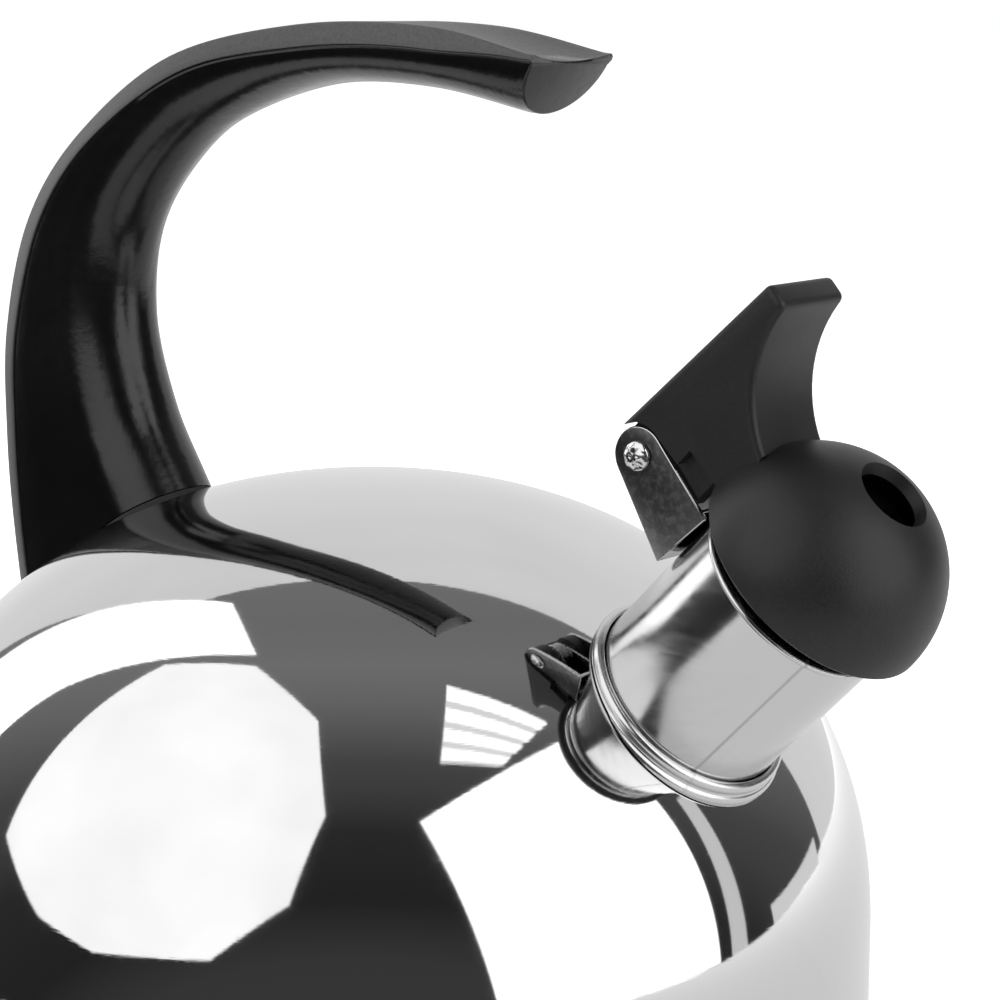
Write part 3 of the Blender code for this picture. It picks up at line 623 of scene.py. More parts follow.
def phenolic_black():
    """Moulded black phenolic: glossy flanks with orange peel, a duller grained skin along the outer edge
    whose lighter grey is partly its grain and partly a painted sheen.
    """
    plastic = Finish("phenolic_black", (0.002, 0.002, 0.0022), 0.0, 0.16)
    skin = plastic.add("ShaderNodeAttribute", attribute_name="outer_skin").outputs["Fac"]
    peel = plastic.noise(420, 3, None, 0.6)
    grain = plastic.noise(1500, 3, None, 0.65)
    waves = plastic.noise(38, 2)
    gloss = plastic.math("ADD", plastic.range(waves, 0.16, 0.23), plastic.range(peel, 0, 0.05))
    dull = plastic.range(grain, 0.36, 0.52)
    plastic.set("Roughness", plastic.blend(skin, gloss, dull))
    # Painted sheen: the skin's lighter grey stands partly for the lights it faces; the grain varies it.
    skin_grain_and_sheen = plastic.range(grain, 0.038, 0.070)
    tone = plastic.blend(skin, 0.002, skin_grain_and_sheen)
    plastic.set("Base Color", plastic.ramp(tone, [(0.0, 0.0), (1.0, 1.0)]))
    plastic.bump(waves, 0.10, 0.0007)
    plastic.bump(peel, 0.34, 0.00022)
    plastic.bump(grain, 0.10, 0.00007)
    plastic.shader.inputs["Specular IOR Level"].default_value = 0.5
    return plastic.done()


def cap_black():
    """Moulded black cap: satin, with a fine even grain."""
    plastic = Finish("cap_black", (0.006, 0.006, 0.0062), 0.0, 0.44)
    grain = plastic.noise(1900, 3, None, 0.7)
    patches = plastic.noise(90, 3)
    level = plastic.math("ADD", plastic.range(patches, 0.39, 0.46), plastic.range(grain, 0, 0.05))
    plastic.set("Roughness", level)
    stops = [(0.3, (0.004, 0.004, 0.0042)), (0.75, (0.009, 0.009, 0.0092))]
    plastic.set("Base Color", plastic.ramp(grain, stops))
    plastic.bump(grain, 0.32, 0.00012)
    plastic.shader.inputs["Specular IOR Level"].default_value = 0.42
    return plastic.done()


def pad_rubber():
    rubber = Finish("pad_rubber", (0.02, 0.02, 0.02), 0.0, 0.8)
    grain = rubber.noise(800, 2)
    rubber.set("Roughness", rubber.range(grain, 0.7, 0.9))
    rubber.bump(grain, 0.3, 0.0001)
    return rubber.done()


# --- body ------------------------------------------------------------------------------------------------
def dome_outline(grow=0.0, steps=96):
    """The dome from its top down to the waist, moved outwards by grow."""
    power = 2 / DOME_POWER
    points = []
    for i in range(steps + 1):
        angle = 0.5 * math.pi * i / steps
        radius = (BODY_R + grow) * math.sin(angle) ** power
        points.append((radius, WAIST_Z + (DOME_H + grow) * max(math.cos(angle), 0.0) ** power))
    points[-1] = (BODY_R + grow, WAIST_Z)
    return points


def dome_cutter(grow, material=None):
    outline = [*dome_outline(grow), (BODY_R + grow, BODY_EDGE_Z), (0, BODY_EDGE_Z)]
    return turned("dome_cutter", outline, material, BODY_SEGMENTS)


def outward(point):
    """The outward direction of the dome at a point of its surface."""
    radius = math.hypot(point.x, point.y)
    height = point.z - WAIST_Z
    if radius < 1e-6:
        return Vector((0, 0, 1))
    around = (radius / BODY_R) ** (DOME_POWER - 1) / BODY_R
    upward = (height / DOME_H) ** (DOME_POWER - 1) / DOME_H if height > 0 else 0.0
    return Vector((point.x / radius * around, point.y / radius * around, upward)).normalized()


def smooth_dome(obj):
    """Gives the dome the true surface's normals, so that reflections run evenly past the spout's hole."""
    mesh = obj.data
    mesh.shade_smooth()
    normals = []
    for face in mesh.polygons:
        for index in face.vertices:
            true = outward(mesh.vertices[index].co)
            facing = true.dot(face.normal)
            normals.append(true if facing > 0.9 else (-true if facing < -0.9 else face.normal.copy()))
    mesh.normals_split_custom_set(normals)
    return obj


def make_body(steel):
    inner = list(reversed(dome_outline(-BODY_WALL, 40)))
    outline = [*dome_outline(), (BODY_R, BODY_EDGE_Z + BODY_EDGE_CHAMFER)]
    outline += [(BODY_R - BODY_EDGE_CHAMFER, BODY_EDGE_Z), (BODY_R - BODY_WALL, BODY_EDGE_Z), *inner]
    shell = turned("body_shell_fine", outline, steel, BODY_SEGMENTS)
    hole = turned("spout_hole", rod(SPOUT_R + GAP, -4 * SPOUT_INSERT, SPOUT_LENGTH), steel)
    carved(shell, placed(hole, SPOUT))
    fitted(smooth_dome(shell), "kettle", "polished_steel", "body_shell")


def make_base(steel):
    centre = (PAN_FLAT_R, PAN_LOW_Z + CORNER_R)
    outer = arc(centre, CORNER_R, -90, 0, 20)
    inner = arc(centre, CORNER_R - BODY_WALL, 0, -90, 20)
    outline = [(0, PAN_LOW_Z), *outer, *inner, (0, PAN_LOW_Z + BODY_WALL)]
    pan = turned("base_pan_fine", outline, steel, BODY_SEGMENTS)
    fitted(pan, "kettle", "polished_steel", "base_pan")
    rim_z = CAPSULE_WALL + GAP + CORE_H
    inner_r = CAPSULE_R - CAPSULE_WALL
    corner = arc((CAPSULE_R - CAPSULE_CORNER_R, CAPSULE_CORNER_R), CAPSULE_CORNER_R, -90, 0, 8)
    outline = [(0, 0), *corner, (CAPSULE_R, rim_z), (inner_r, rim_z)]
    outline += [(inner_r, CAPSULE_WALL), (0, CAPSULE_WALL)]
    capsule = turned("base_capsule_fine", outline, steel, BODY_SEGMENTS)
    fitted(capsule, "kettle", "polished_steel", "base_capsule")


# --- spout -----------------------------------------------------------------------------------------------
def make_spout(steel):
    inner_r = SPOUT_R - SPOUT_WALL
    lip = arc((SPOUT_R, SPOUT_LENGTH - LIP_R), LIP_R, -90, 90, 10)
    outline = [(inner_r, -SPOUT_INSERT), (SPOUT_R, -SPOUT_INSERT), *lip, (inner_r, SPOUT_LENGTH)]
    tube = placed(turned("spout_tube_fine", outline, steel), SPOUT)
    fitted(tube, "kettle", "polished_steel", "spout_tube")


def make_collar(steel):
    """Two rolled beads, one above the other, whose underside follows the dome."""
    bore_r = SPOUT_R + GAP
    upper = (bore_r + UPPER_BEAD_OUT, COLLAR_SEAT_H + UPPER_BEAD_RISE)
    lower = (bore_r + LOWER_BEAD_OUT, COLLAR_SEAT_H)
    foot_h = COLLAR_SEAT_H - COLLAR_SKIRT
    outline = [(bore_r, foot_h), (lower[0] + BEAD_R, foot_h)]
    outline += arc(lower, BEAD_R, 0, 72, 9)
    outline += arc(upper, BEAD_R, -32, 102, 14)
    outline.append((bore_r, upper[1] + COLLAR_TOP_RISE))
    collar = placed(turned("spout_collar_fine", outline, steel, sharp=50), SPOUT)
    carved(collar, dome_cutter(GAP, steel))
    fitted(tidy(collar, 50), "kettle", "polished_steel", "spout_collar")


# --- hinge -----------------------------------------------------------------------------------------------
def tangent_angle(corner, centre, radius, side):
    """The angle, seen from a circle's centre, of the point where a line from the corner touches it."""
    away = Vector(corner) - Vector(centre)
    return math.degrees(math.atan2(away.y, away.x)) + side * math.degrees(math.acos(radius / away.length))


def make_bracket(steel):
    pivot = (PIVOT_UP, PIVOT_H)
    low = (BRACKET_LOW_UP, BRACKET_LOW_H)
    high = (EAR_LOW_UP, BRACKET_HIGH_H)
    start = tangent_angle(low, pivot, EAR_R, 1)
    end = tangent_angle(high, pivot, EAR_R, -1)
    outline = [low, *arc(pivot, EAR_R, start, end, 28), high]
    bracket = prism("hinge_bracket_fine", outline, -BRACKET_HALF_W, BRACKET_HALF_W, steel)
    low_h, high_h = 0.5 * BRACKET_LOW_H, PIVOT_H + 2 * EAR_R
    for name, low_up, high_up in (
        ("bracket_slot", BRACKET_LOW_UP + BRACKET_T, PIVOT_UP + 2 * EAR_R),
        ("bracket_underside", EAR_LOW_UP - EAR_R, BRACKET_LOW_UP),
    ):
        sides = [(low_up, low_h), (high_up, low_h), (high_up, high_h), (low_up, high_h)]
        carved(bracket, prism(name, sides, -EAR_INNER_Y, EAR_INNER_Y))
    bevelled(bracket, BRACKET_EDGE)
    hole = turned("rivet_hole", rod(RIVET_R + GAP, -BORE_HALF, BORE_HALF), steel, SMALL_SEGMENTS)
    carved(bracket, placed(hole, ACROSS))
    fitted(tidy(placed(bracket, SPOUT), 40), "kettle", "polished_steel", "hinge_bracket")


def make_rivet(steel):
    """A rivet whose heads were hammered over, so that they are lumpy."""
    head_y = BRACKET_HALF_W + GAP
    crown = 10
    half = [(RIVET_R, head_y), (RIVET_HEAD_R, head_y)]
    rim_y = head_y + RIVET_RIM_T
    crown_t = RIVET_HEAD_T - RIVET_RIM_T - RIVET_CROWN_DROP
    for i in range(crown):
        angle = 0.5 * math.pi * (i + 1) / (crown + 1)
        half.append((RIVET_HEAD_R * math.cos(angle) ** 0.75, rim_y + crown_t * math.sin(angle)))
    half.append((0, head_y + RIVET_HEAD_T - RIVET_CROWN_DROP))
    other_half = [(radius, -height) for radius, height in reversed(half)]
    rivet = turned("hinge_rivet_fine", [*other_half, *half], steel, SMALL_SEGMENTS, 60)
    for vertex in rivet.data.vertices:
        place = vertex.co
        if abs(place.z) > head_y + 0.0002:
            dent = noise.noise(place * 900) + 0.5 * noise.noise(place * 2100)
            place.z -= math.copysign(RIVET_DENT * (dent + 0.5), place.z)
            place.xy *= 1 - 0.035 * abs(noise.noise(place * 700 + Vector((3, 0, 0))))
    fitted(tidy(placed(rivet, CROSSWISE), 50), "kettle", "polished_steel", "hinge_rivet")


def make_sleeve(steel):
    inner_r = RIVET_R + GAP
    half = EAR_INNER_Y - GAP
    outline = [(inner_r, -half), (SLEEVE_R, -half), (SLEEVE_R, half), (inner_r, half)]
    sleeve = placed(turned("hinge_sleeve_fine", outline, steel, SMALL_SEGMENTS), CROSSWISE)
    fitted(sleeve, "kettle", "plain_steel", "hinge_sleeve")


def make_spring(steel):
    """A torsion spring: one leg rests on the bracket's web, the other under the lever."""
    coil_r = LUG_HOLE_R + WIRE_R + GAP
    half = 0.5 * SPRING_TURNS * (2 * WIRE_R + SPRING_TURN_GAP)
    start, end = math.radians(-160), math.radians(-125)
    sweep = 2 * math.pi * SPRING_TURNS + (end - start)
    steps = 32 * SPRING_TURNS
    web_up = BRACKET_LOW_UP + BRACKET_T + WIRE_R + GAP
    leg_h = BRACKET_LOW_H + 0.35 * (BRACKET_HIGH_H - BRACKET_LOW_H)
    lever_up = LEVER_UNDER_UP - WIRE_R - GAP
    points = [(web_up, -half, leg_h - SPRING_FOOT_LENGTH), (web_up + SPRING_FOOT_RISE, -half, leg_h)]
    for i in range(steps + 1):
        angle = start + sweep * i / steps
        up, along = PIVOT_UP + coil_r * math.sin(angle), PIVOT_H + coil_r * math.cos(angle)
        points.append((up, -half + 2 * half * i / steps, along))
    points.append((lever_up - SPRING_BEND, half, LEVER_UNDER_H - SPRING_BEND))
    points.append((lever_up, half, LEVER_FRONT_H - SPRING_FOOT_LENGTH))
    spring = grown("hinge_spring_fine", points, WIRE, {"Wire radius": WIRE_R, "Sides": 12, "Material": steel})
    placed(tidy(spring, 60), SPOUT)
    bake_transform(spring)
    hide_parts("hinge_spring")


# --- cap and whistle -------------------------------------------------------------------------------------
def finger_arc(start, end):
    """The hollow front of the lever: an arc of radius FINGER_R between two points."""
    chord = end - start
    middle = 0.5 * (start + end)
    sag = math.sqrt(FINGER_R**2 - 0.25 * chord.length_squared)
    centre = middle + sag * Vector((chord.y, -chord.x)).normalized()
    first = math.degrees(math.atan2(start.y - centre.y, start.x - centre.x))
    last = math.degrees(math.atan2(end.y - centre.y, end.x - centre.x))
    if last - first > 180:
        last -= 360
    if first - last > 180:
        last += 360
    return arc(centre, FINGER_R, first, last, 16)[1:]


def rounded_lever(plastic):
    """The lever, drawn from the side as (up, along) points of the spout's frame, with rounded outer edges."""
    under = [(LEVER_ROOT_SHARE * CAP_R, LEVER_FRONT_H), (LEVER_UNDER_UP, LEVER_FRONT_H)]
    under += [(LEVER_UNDER_UP, LEVER_UNDER_H), (PIVOT_UP, LEVER_UNDER_H)]
    front = finger_arc(Vector(LEVER_LIP), Vector((FINGER_FOOT_SHARE * CAP_R, CAP_RIM_H + 0.5 * CAP_R)))
    outline = [*under, LEVER_TIP, LEVER_TOP, LEVER_LIP, *front]
    work_mesh, low, high = extruded(outline, -LEVER_HALF_W, LEVER_HALF_W)
    tip = len(under)
    edges = [work_mesh.edges.get((low[i], high[i])) for i in (tip + 1, tip + 2)]
    for loop in (low, high):
        edges += [work_mesh.edges.get((loop[i], loop[i + 1])) for i in range(tip, len(outline) - 1)]
    bmesh.ops.bevel(work_mesh, geom=edges, offset=LEVER_EDGE, segments=5, profile=0.5, affect="EDGES")
    return finished("lever", work_mesh, plastic)


def make_cap(plastic):
    rim = (0, CAP_RIM_H)
    crown = [point for point in arc(rim, CAP_R, 0, 90, 64)[:-1] if point[1] > CAP_RIM_H + CAP_EDGE]
    outline = [(0, CAP_RIM_H), (CAP_R - CAP_EDGE, CAP_RIM_H), *crown, (0, CAP_RIM_H + CAP_R)]
    cap = turned("whistle_cap_fine", outline, plastic)
    lever = rounded_lever(plastic)
    clearance = turned("ear_clearance", rod(EAR_R + EAR_CLEARANCE, -BORE_HALF, BORE_HALF), plastic, 96)
    carved(lever, placed(clearance, ACROSS))
    carved(cap, lever, "UNION")
    hollow = [(0, CAP_RIM_H - CUTTER_OVER), (CAP_INNER_R, CAP_RIM_H - CUTTER_OVER)]
    hollow += [*arc(rim, CAP_INNER_R, 0, 90, 32)[:-1], (0, CAP_RIM_H + CAP_INNER_R)]
    carved(cap, turned("cap_hollow", hollow, plastic))
    mouth_h = CAP_RIM_H + math.sqrt(CAP_R**2 - CAP_HOLE_MOUTH_R**2)
    slope = (CAP_HOLE_MOUTH_R - CAP_HOLE_R) / CAP_HOLE_TAPER
    over_r = CAP_HOLE_MOUTH_R + slope * CUTTER_OVER
    hole = [(0, mouth_h - 3 * CAP_HOLE_TAPER), (CAP_HOLE_R, mouth_h - 3 * CAP_HOLE_TAPER)]
    hole.append((CAP_HOLE_R, mouth_h - CAP_HOLE_TAPER))
    hole += [(over_r, mouth_h + CUTTER_OVER), (0, mouth_h + CUTTER_OVER)]
    carved(cap, turned("steam_hole", hole, plastic, 96))
    lug = [*arc((PIVOT_UP, PIVOT_H), LUG_R, -180, 0, 32), (PIVOT_UP + LUG_R, LEVER_UNDER_H + LUG_OVERLAP)]
    lug += [(LUG_FRONT_UP, CAP_RIM_H + LUG_OVERLAP), (LUG_FRONT_UP, LUG_FRONT_H)]
    for side in (-1, 1):
        ends = sorted((side * LUG_INNER_Y, side * LUG_OUTER_Y))
        carved(cap, prism("lug", lug, *ends, plastic), "UNION")
    bore = turned("lug_bore", rod(LUG_HOLE_R, -BORE_HALF, BORE_HALF), plastic, SMALL_SEGMENTS)
    carved(cap, placed(bore, ACROSS))
    low = PLATE_LOW_H + PLATE_T + GAP
    top = CAP_RIM_H + math.sqrt(CAP_INNER_R**2 - (POST_OFFSET + POST_R) ** 2) + 0.3 * CAP_WALL
    for side in (-1, 1):
        post = turned("post", rod(POST_R, low, top), plastic, 24)
        carved(cap, placed(post, Matrix.Translation((0, side * POST_OFFSET, 0))), "UNION")
    fitted(tidy(placed(cap, SPOUT), 28), "cap", "cap_plastic", "whistle_cap")


def make_whistle(steel):
    plate_r = CAP_INNER_R - GAP
    inner_r = plate_r - PLATE_T
    low = PLATE_LOW_H
    plate = [(STEAM_HOLE_R, low), (plate_r - PLATE_EDGE, low), (plate_r, low + PLATE_EDGE)]
    plate += [(plate_r, low + PLATE_RIM_H), (inner_r, low + PLATE_RIM_H)]
    plate += [(inner_r, low + PLATE_T), (STEAM_HOLE_R, low + PLATE_T)]
    fitted(placed(turned("whistle_plate_fine", plate, steel), SPOUT), "cap", "plain_steel", "whistle_plate")
    head_top = low - GAP
    head_low = head_top - WHISTLE_HEAD_T
    tip = low + WHISTLE_SCREW_END
    screw = [(0, head_low), (WHISTLE_HEAD_FLAT_R, head_low), (WHISTLE_HEAD_R, head_top - WHISTLE_HEAD_RIM_T)]
    screw += [(WHISTLE_HEAD_R, head_top), (WHISTLE_SCREW_R, head_top), (WHISTLE_SCREW_R, tip), (0, tip)]
    fitting = turned("whistle_screw", screw, steel, 24)
    points = [(0, side * POST_OFFSET, 0) for side in (-1, 1)]
    screws = grown("whistle_screws", points, ROW, {"Fitting": fitting, "Material": steel}, joined=False)
    bpy.data.objects.remove(fitting)
    fitted(placed(tidy(screws), SPOUT), "cap", "plain_steel", "whistle_screw_near", "whistle_screw_far")


# --- handle ----------------------------------------------------------------------------------------------
def handle_section(depth, half_w, band, dish):
    """Half of the D section, as (y, distance from the outer face) points from the middle to the nose."""
    band = max(band, 2 * HANDLE_EDGE_R)
    top_w = half_w - BAND_LEAN * band
    edge_y = top_w - HANDLE_EDGE_R
    face_steps, flank_steps, nose_steps = 8, 4, 24
    points = []
    for i in range(face_steps + 1):
        share = i / face_steps
        points.append((edge_y * share, dish * (1 - share**2)))
    points += arc((edge_y, HANDLE_EDGE_R), HANDLE_EDGE_R, -67, -12, 3)
    points += [(top_w + (half_w - top_w) * share, band * share) for share in (0.4, 0.7)]
    points += [(half_w - CREASE, band - 3 * CREASE), (half_w - CREASE, band - CREASE)]
    flank_w = half_w - HANDLE_STEP
    points.append((flank_w - CREASE, band + 0.5 * CREASE))
    start = band + HANDLE_STEP
    nose_w = flank_w * FLANK_TAPER
    nose_d = min(depth - start - HANDLE_STEP, NOSE_LENGTH * nose_w)
    for i in range(flank_steps):
        share = i / flank_steps
        points.append((flank_w * (1 - share) + nose_w * share, start + (depth - nose_d - start) * share))
    for i in range(nose_steps + 1):
        angle = 0.5 * math.pi * i / nose_steps
        points.append((nose_w * max(math.cos(angle), 0.0), depth - nose_d * (1 - math.sin(angle))))
    return points


def ramp_up(value, low, high):
    """A smooth rise from 0 at the low value to 1 at the high one."""
    share = min(1.0, max(0.0, (value - low) / (high - low)))
    return share * share * (3 - 2 * share)


def handle_mesh(name, material, steps=12):
    """Sections from the foot to the free end, which is closed by a few smaller ones that round its rim."""
    outer = curve_points(HANDLE_OUTER, steps)
    inner = curve_points(HANDLE_INNER, steps)
    work_mesh = bmesh.new()
    band_skin = work_mesh.verts.layers.float.new("outer_skin")
    loops = []
    last = len(outer) - 1
    stations = [(i, 0.0, 0.0) for i in range(last)]
    back_off = ((0.0005, 0.0), (0.00025, 0.00008), (0.00008, 0.00025), (0.0, 0.0005))
    stations += [(last, along, inset) for along, inset in back_off]
    for station, along, inset in stations:
        edge, nose = outer[station], inner[station]
        share = station / last
        half_w = 0.5 * (HANDLE_FOOT_W + (HANDLE_W - HANDLE_FOOT_W) * min(1.0, 3 * share))
        inward = nose - edge
        depth = inward.length
        inward.normalize()
        forward = Vector((-inward.y, inward.x))
        if station and forward.dot(edge - outer[station - 1]) < 0:
            forward = -forward
        dish = DISH * ramp_up(edge.x, 0.004, 0.036)
        band = HANDLE_BAND * (1 - BAND_THINNING * ramp_up(edge.x, 0.030, HANDLE_OUTER[-1][0]))
        band += BAND_SWELL * ramp_up(edge.y, 0.150, 0.185) * (1 - ramp_up(edge.x, -0.075, -0.030))
        half = handle_section(depth, half_w, band, dish)
        middle = 0.45 * depth
        section = half + [(-y, d) for y, d in reversed(half[1:-1])]
        loop = []
        for y, d in section:
            outer_skin = float(d <= band)
            y *= 1 - inset / half_w
            d = middle + (d - middle) * (1 - inset / middle)
            x = edge.x + inward.x * d - forward.x * along
            z = edge.y + inward.y * d - forward.y * along
            vertex = work_mesh.verts.new((x, y, z))
            vertex[band_skin] = outer_skin
            loop.append(vertex)
        loops.append(loop)
    for low, high in zip(loops, loops[1:]):
        joined_loops(work_mesh, low, high)
    work_mesh.faces.new(loops[0])
    work_mesh.faces.new(loops[-1])
    bmesh.ops.recalc_face_normals(work_mesh, faces=work_mesh.faces)
    return finished(name, work_mesh, material)


def along_x(obj, z):
    return placed(obj, Matrix.Translation((0, 0, z)) @ Matrix.Rotation(math.pi / 2, 4, "Y"))


def make_handle(phenolic, pad):
    grip = handle_mesh("handle_grip_fine", phenolic)
    carved(grip, dome_cutter(GASKET_T + 2 * GAP))
    counterbore = rod(WASHER_R + GAP, -2 * BODY_R, HANDLE_SCREW_SEAT_X)
    for z in HANDLE_SCREW_Z:
        carved(grip, along_x(turned("counterbore", counterbore, phenolic, SMALL_SEGMENTS), z))
    fitted(tidy(grip, 30), "kettle", "phenolic", "handle_grip")
    gasket = handle_mesh("handle_gasket_fine", pad)
    carved(gasket, dome_cutter(GASKET_T + GAP), "INTERSECT")
    carved(gasket, dome_cutter(GAP))
    fitted(tidy(gasket, 30), "kettle", "heat_pad", "handle_gasket")


def make_handle_fixings(steel):
    washer_low = HANDLE_SCREW_SEAT_X - GAP - WASHER_T
    washer_high = washer_low + WASHER_T
    washer = [(WASHER_HOLE_R, washer_low), (WASHER_R, washer_low)]
    washer += [(WASHER_R, washer_high), (WASHER_HOLE_R, washer_high)]
    head_low = washer_low - GAP - SCREW_HEAD_T
    head_end = head_low + SCREW_HEAD_T
    socket_x = head_low + SCREW_SOCKET_DEPTH
    screw = [(0, socket_x), (SCREW_SOCKET_R, socket_x), (SCREW_SOCKET_R, head_low)]
    screw += [(SCREW_HEAD_R - SCREW_HEAD_CHAMFER, head_low), (SCREW_HEAD_R, head_low + SCREW_HEAD_CHAMFER)]
    screw += [(SCREW_HEAD_R, head_end), (SCREW_R, head_end), (SCREW_R, SCREW_TIP_X), (0, SCREW_TIP_X)]
    points = [(0, 0, z) for z in HANDLE_SCREW_Z]
    for name, outline, nodes in (
        ("handle_washers", washer, ("handle_washer_lower", "handle_washer_upper")),
        ("handle_screws", screw, ("handle_screw_lower", "handle_screw_upper")),
    ):
        fitting = along_x(turned(name + "_one", outline, steel, SMALL_SEGMENTS), 0)
        row = grown(name, points, ROW, {"Fitting": fitting, "Material": steel}, joined=False)
        bpy.data.objects.remove(fitting)
        fitted(tidy(row), "kettle", "plain_steel", *nodes)


# --- studio ----------------------------------------------------------------------------------------------
OCTAGON_BOX = (
    (-0.88, -0.83, 0.41), (-0.63, -1.08, 0.20), (-0.34, -1.23, 0.14), (0.24, -1.32, 0.24),
    (0.53, -1.11, 0.58), (0.45, -0.75, 0.95), (0.12, -0.41, 1.23), (-0.30, -0.25, 1.26),
    (-0.61, -0.30, 1.10), (-0.71, -0.51, 0.82),
)
LEFT_BOX = (
    (-0.54, 0.07, 1.03), (-0.33, -0.19, 1.24), (-0.77, -0.30, 0.70), (-1.26, -0.52, 0.08), (-1.33, 0.0, 0.06),
)
RIGHT_BOX = ((0.69, -0.46, 0.84), (1.03, -0.40, -0.07), (1.02, 0.58, -0.07), (0.63, 0.31, 0.91))
BACKDROP = ((0.43, 1.26, -0.10), (-1.13, 0.09, -0.10), (-1.13, 0.09, 1.55), (0.43, 1.26, 1.55))
STRIPE = ((0.70, 0.52, 0.50), (0.75, 0.56, -0.09), (0.80, 0.50, -0.07), (0.73, 0.47, 0.50))
SIDE_LAMP = ((0.66, 0.67, 0.03), (0.36, 0.85, 0.06), (0.38, 0.84, -0.09), (0.64, 0.66, -0.09))
CEILING_LAMP = ((0.43, 0.14, 1.8), (1.04, 0.51, 1.8), (1.30, -0.06, 1.8), (1.01, -0.39, 1.8))
FLOOR = ((-30, -30, 0), (30, -30, 0), (30, 30, 0), (-30, 30, 0))
TABLE_Z = -0.001  # just under the floor
TABLE_CORNERS = ((0.02, -0.52), (0.55, 0.05), (0.43, 1.26), (-1.13, 0.09), (-0.30, -0.13))
TABLE = [(x, y, TABLE_Z) for x, y in TABLE_CORNERS]
FLOOR_GLOW = 0.55
TABLE_GLOW = 0.28
ROOM_AXIS = (-0.455, 0.541, 0.707)  # upwards and to the back of the kettle
ROOM_LEVELS = (
    (0.0, 0.06), (0.22, 0.05), (0.335, 0.022), (0.49, 0.03), (0.59, 0.065), (0.655, 0.08), (0.726, 0.13),
    (0.79, 0.18), (0.86, 0.215), (0.93, 0.195), (1.0, 0.22),
)


def stage_mesh(name, corners):
    mesh = bpy.data.meshes.new(name)
    mesh.from_pydata(corners, [], [tuple(range(len(corners)))])
    obj = linked(name, mesh)
    return obj


def light_card(name, corners, strength, mottle=0.0):
    """A sheet of soft light that only shows in reflections and lights the kettle."""
    card = stage_mesh(name, corners)
    card.visible_camera = False
    card.visible_shadow = False
    material = bpy.data.materials.new(name)
    material.use_nodes = True
    tree = material.node_tree
    tree.nodes.remove(tree.nodes["Principled BSDF"])
    level = strength
    if mottle:
        place = add_node(tree, "ShaderNodeTexCoord").outputs["Object"]
        folds = add_node(tree, "ShaderNodeTexNoise", {"Vector": place, "Scale": 2.2}).outputs["Fac"]
        level = map_range(tree, folds, (0.3, 0.7), (strength * (1 - mottle), strength))
    glow = add_node(tree, "ShaderNodeEmission", {"Strength": level})
    tree.links.new(glow.outputs[0], tree.nodes["Material Output"].inputs["Surface"])
    card.data.materials.append(material)


def between(a, b, share):
    return tuple(Vector(a).lerp(Vector(b), share))


def make_lights():
    light_card("octagon_box", OCTAGON_BOX, 1.45, 0.10)
    light_card("left_box", LEFT_BOX, 1.8)
    light_card("right_box", RIGHT_BOX, 1.9)
    light_card("backdrop", BACKDROP, 0.88, 0.06)
    light_card("stripe_card", STRIPE, 0.75)
    light_card("side_lamp", SIDE_LAMP, 0.85)
    a, b, c, d = CEILING_LAMP
    tubes, lamp_rise = 4, 0.02
    for i in range(tubes):
        low, high = (i + 0.06) / tubes, (i + 0.74) / tubes
        corners = (between(a, d, low), between(b, c, low), between(b, c, high), between(a, d, high))
        light_card(f"ceiling_tube_{i}", corners, 1.6)
    light_card("ceiling_lamp", [(x, y, z + lamp_rise) for x, y, z in CEILING_LAMP], 0.95)


def floor_glow(tree, shader, near, far):
    """The floor's own light: it grows with the distance from the kettle, so that the far floor is white."""
    place = add_node(tree, "ShaderNodeTexCoord").outputs["Object"]
    away = add_node(tree, "ShaderNodeVectorMath", {0: place}, operation="LENGTH").outputs["Value"]
    level = map_range(tree, away, (0.12, 0.9), (near, far), interpolation_type="SMOOTHSTEP")
    tree.links.new(level, shader.inputs["Emission Strength"])


def make_floor():
    """A pale floor that nothing mirrors, and a dimmer table top that only shows in reflections."""
    floor = stage_mesh("floor", FLOOR)
    floor.visible_glossy = False
    table = stage_mesh("table", TABLE)
    table.visible_camera = False
    table.visible_diffuse = False
    table.visible_shadow = False
    for obj, glow in ((floor, FLOOR_GLOW), (table, TABLE_GLOW)):
        material = bpy.data.materials.new(obj.name)
        material.use_nodes = True
        shader = material.node_tree.nodes["Principled BSDF"]
        values = {"Base Color": (0.86, 0.86, 0.86, 1), "Roughness": 0.8, "Specular IOR Level": 0.0}
        values.update({"Emission Color": (1, 1, 1, 1), "Emission Strength": glow})
        for socket, value in values.items():
            shader.inputs[socket].default_value = value
        if obj is floor:
            floor_glow(material.node_tree, shader, glow, 1.0)
        obj.data.materials.append(material)


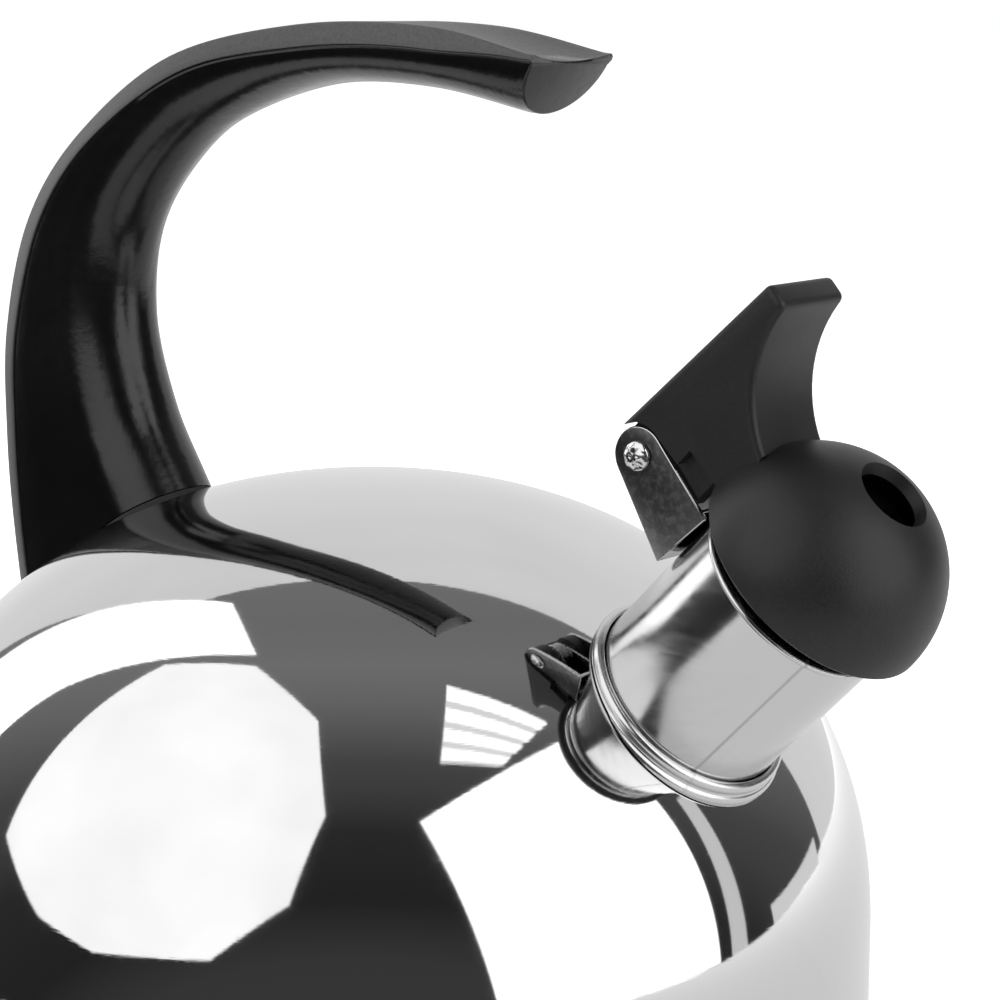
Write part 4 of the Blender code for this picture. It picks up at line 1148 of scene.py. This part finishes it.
def make_world():
    """White to the camera; to everything else a dim room, lightest overhead and behind the kettle."""
    world = bpy.data.worlds.new("studio")
    bpy.context.scene.world = world
    world.use_nodes = True
    tree = world.node_tree
    tree.nodes.clear()
    place = add_node(tree, "ShaderNodeTexCoord").outputs["Generated"]
    towards = add_node(tree, "ShaderNodeVectorMath", {0: place, 1: ROOM_AXIS}, operation="DOT_PRODUCT")
    share = map_range(tree, towards.outputs["Value"], (-1.0, 1.0), (0.0, 1.0))
    room = add_node(tree, "ShaderNodeBackground", {"Color": color_ramp(tree, share, ROOM_LEVELS)})
    white = add_node(tree, "ShaderNodeBackground", {"Color": (1, 1, 1, 1)})
    seen = add_node(tree, "ShaderNodeLightPath").outputs["Is Camera Ray"]
    mix = add_node(tree, "ShaderNodeMixShader", {0: seen, 1: room.outputs[0], 2: white.outputs[0]})
    add_node(tree, "ShaderNodeOutputWorld", {"Surface": mix.outputs[0]})


def make_camera():
    azimuth, elevation = math.radians(40.06), math.radians(10.6)
    data = bpy.data.cameras.new("camera")
    data.sensor_width = 36.0
    data.lens = 93.6
    data.clip_start = 0.01
    data.clip_end = 100
    camera = linked("camera", data)
    level = math.cos(elevation)
    back = Vector((math.sin(azimuth) * level, -math.cos(azimuth) * level, math.sin(elevation)))
    camera.rotation_mode = "QUATERNION"
    camera.rotation_quaternion = (-back).to_track_quat("-Z", "Y")
    camera.location = (0.37667, -0.40321, 0.23819)
    bpy.context.scene.camera = camera
    bpy.context.scene.view_settings.view_transform = "Standard"


def finish_cad_nodes(finishes):
    """CAD nodes that stay take the same finishes."""
    kept = {
        "base_core": "aluminium", "whistle_chamber": "pressed", "whistle_top_disc": "pressed",
        "handle_bracket": "pressed",
    }
    for node, finish in kept.items():
        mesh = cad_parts[node].data
        mesh.materials.clear()
        mesh.materials.append(finishes[finish])


def main():
    mirror, pressed = mirror_steel(), pressed_steel()
    make_camera()
    make_body(mirror)
    make_base(mirror)
    make_spout(drawn_steel("drawn_steel", 0.10, 0.44))
    make_collar(drawn_steel("rolled_steel", 0.17, 0.58))
    make_bracket(hinge_steel())
    make_rivet(rivet_steel())
    make_sleeve(pressed)
    make_spring(spring_steel())
    make_cap(cap_black())
    make_whistle(pressed)
    make_handle(phenolic_black(), pad_rubber())
    make_handle_fixings(pressed)
    finish_cad_nodes({"aluminium": cast_aluminium(), "pressed": pressed})
    make_lights()
    make_floor()
    make_world()


main()
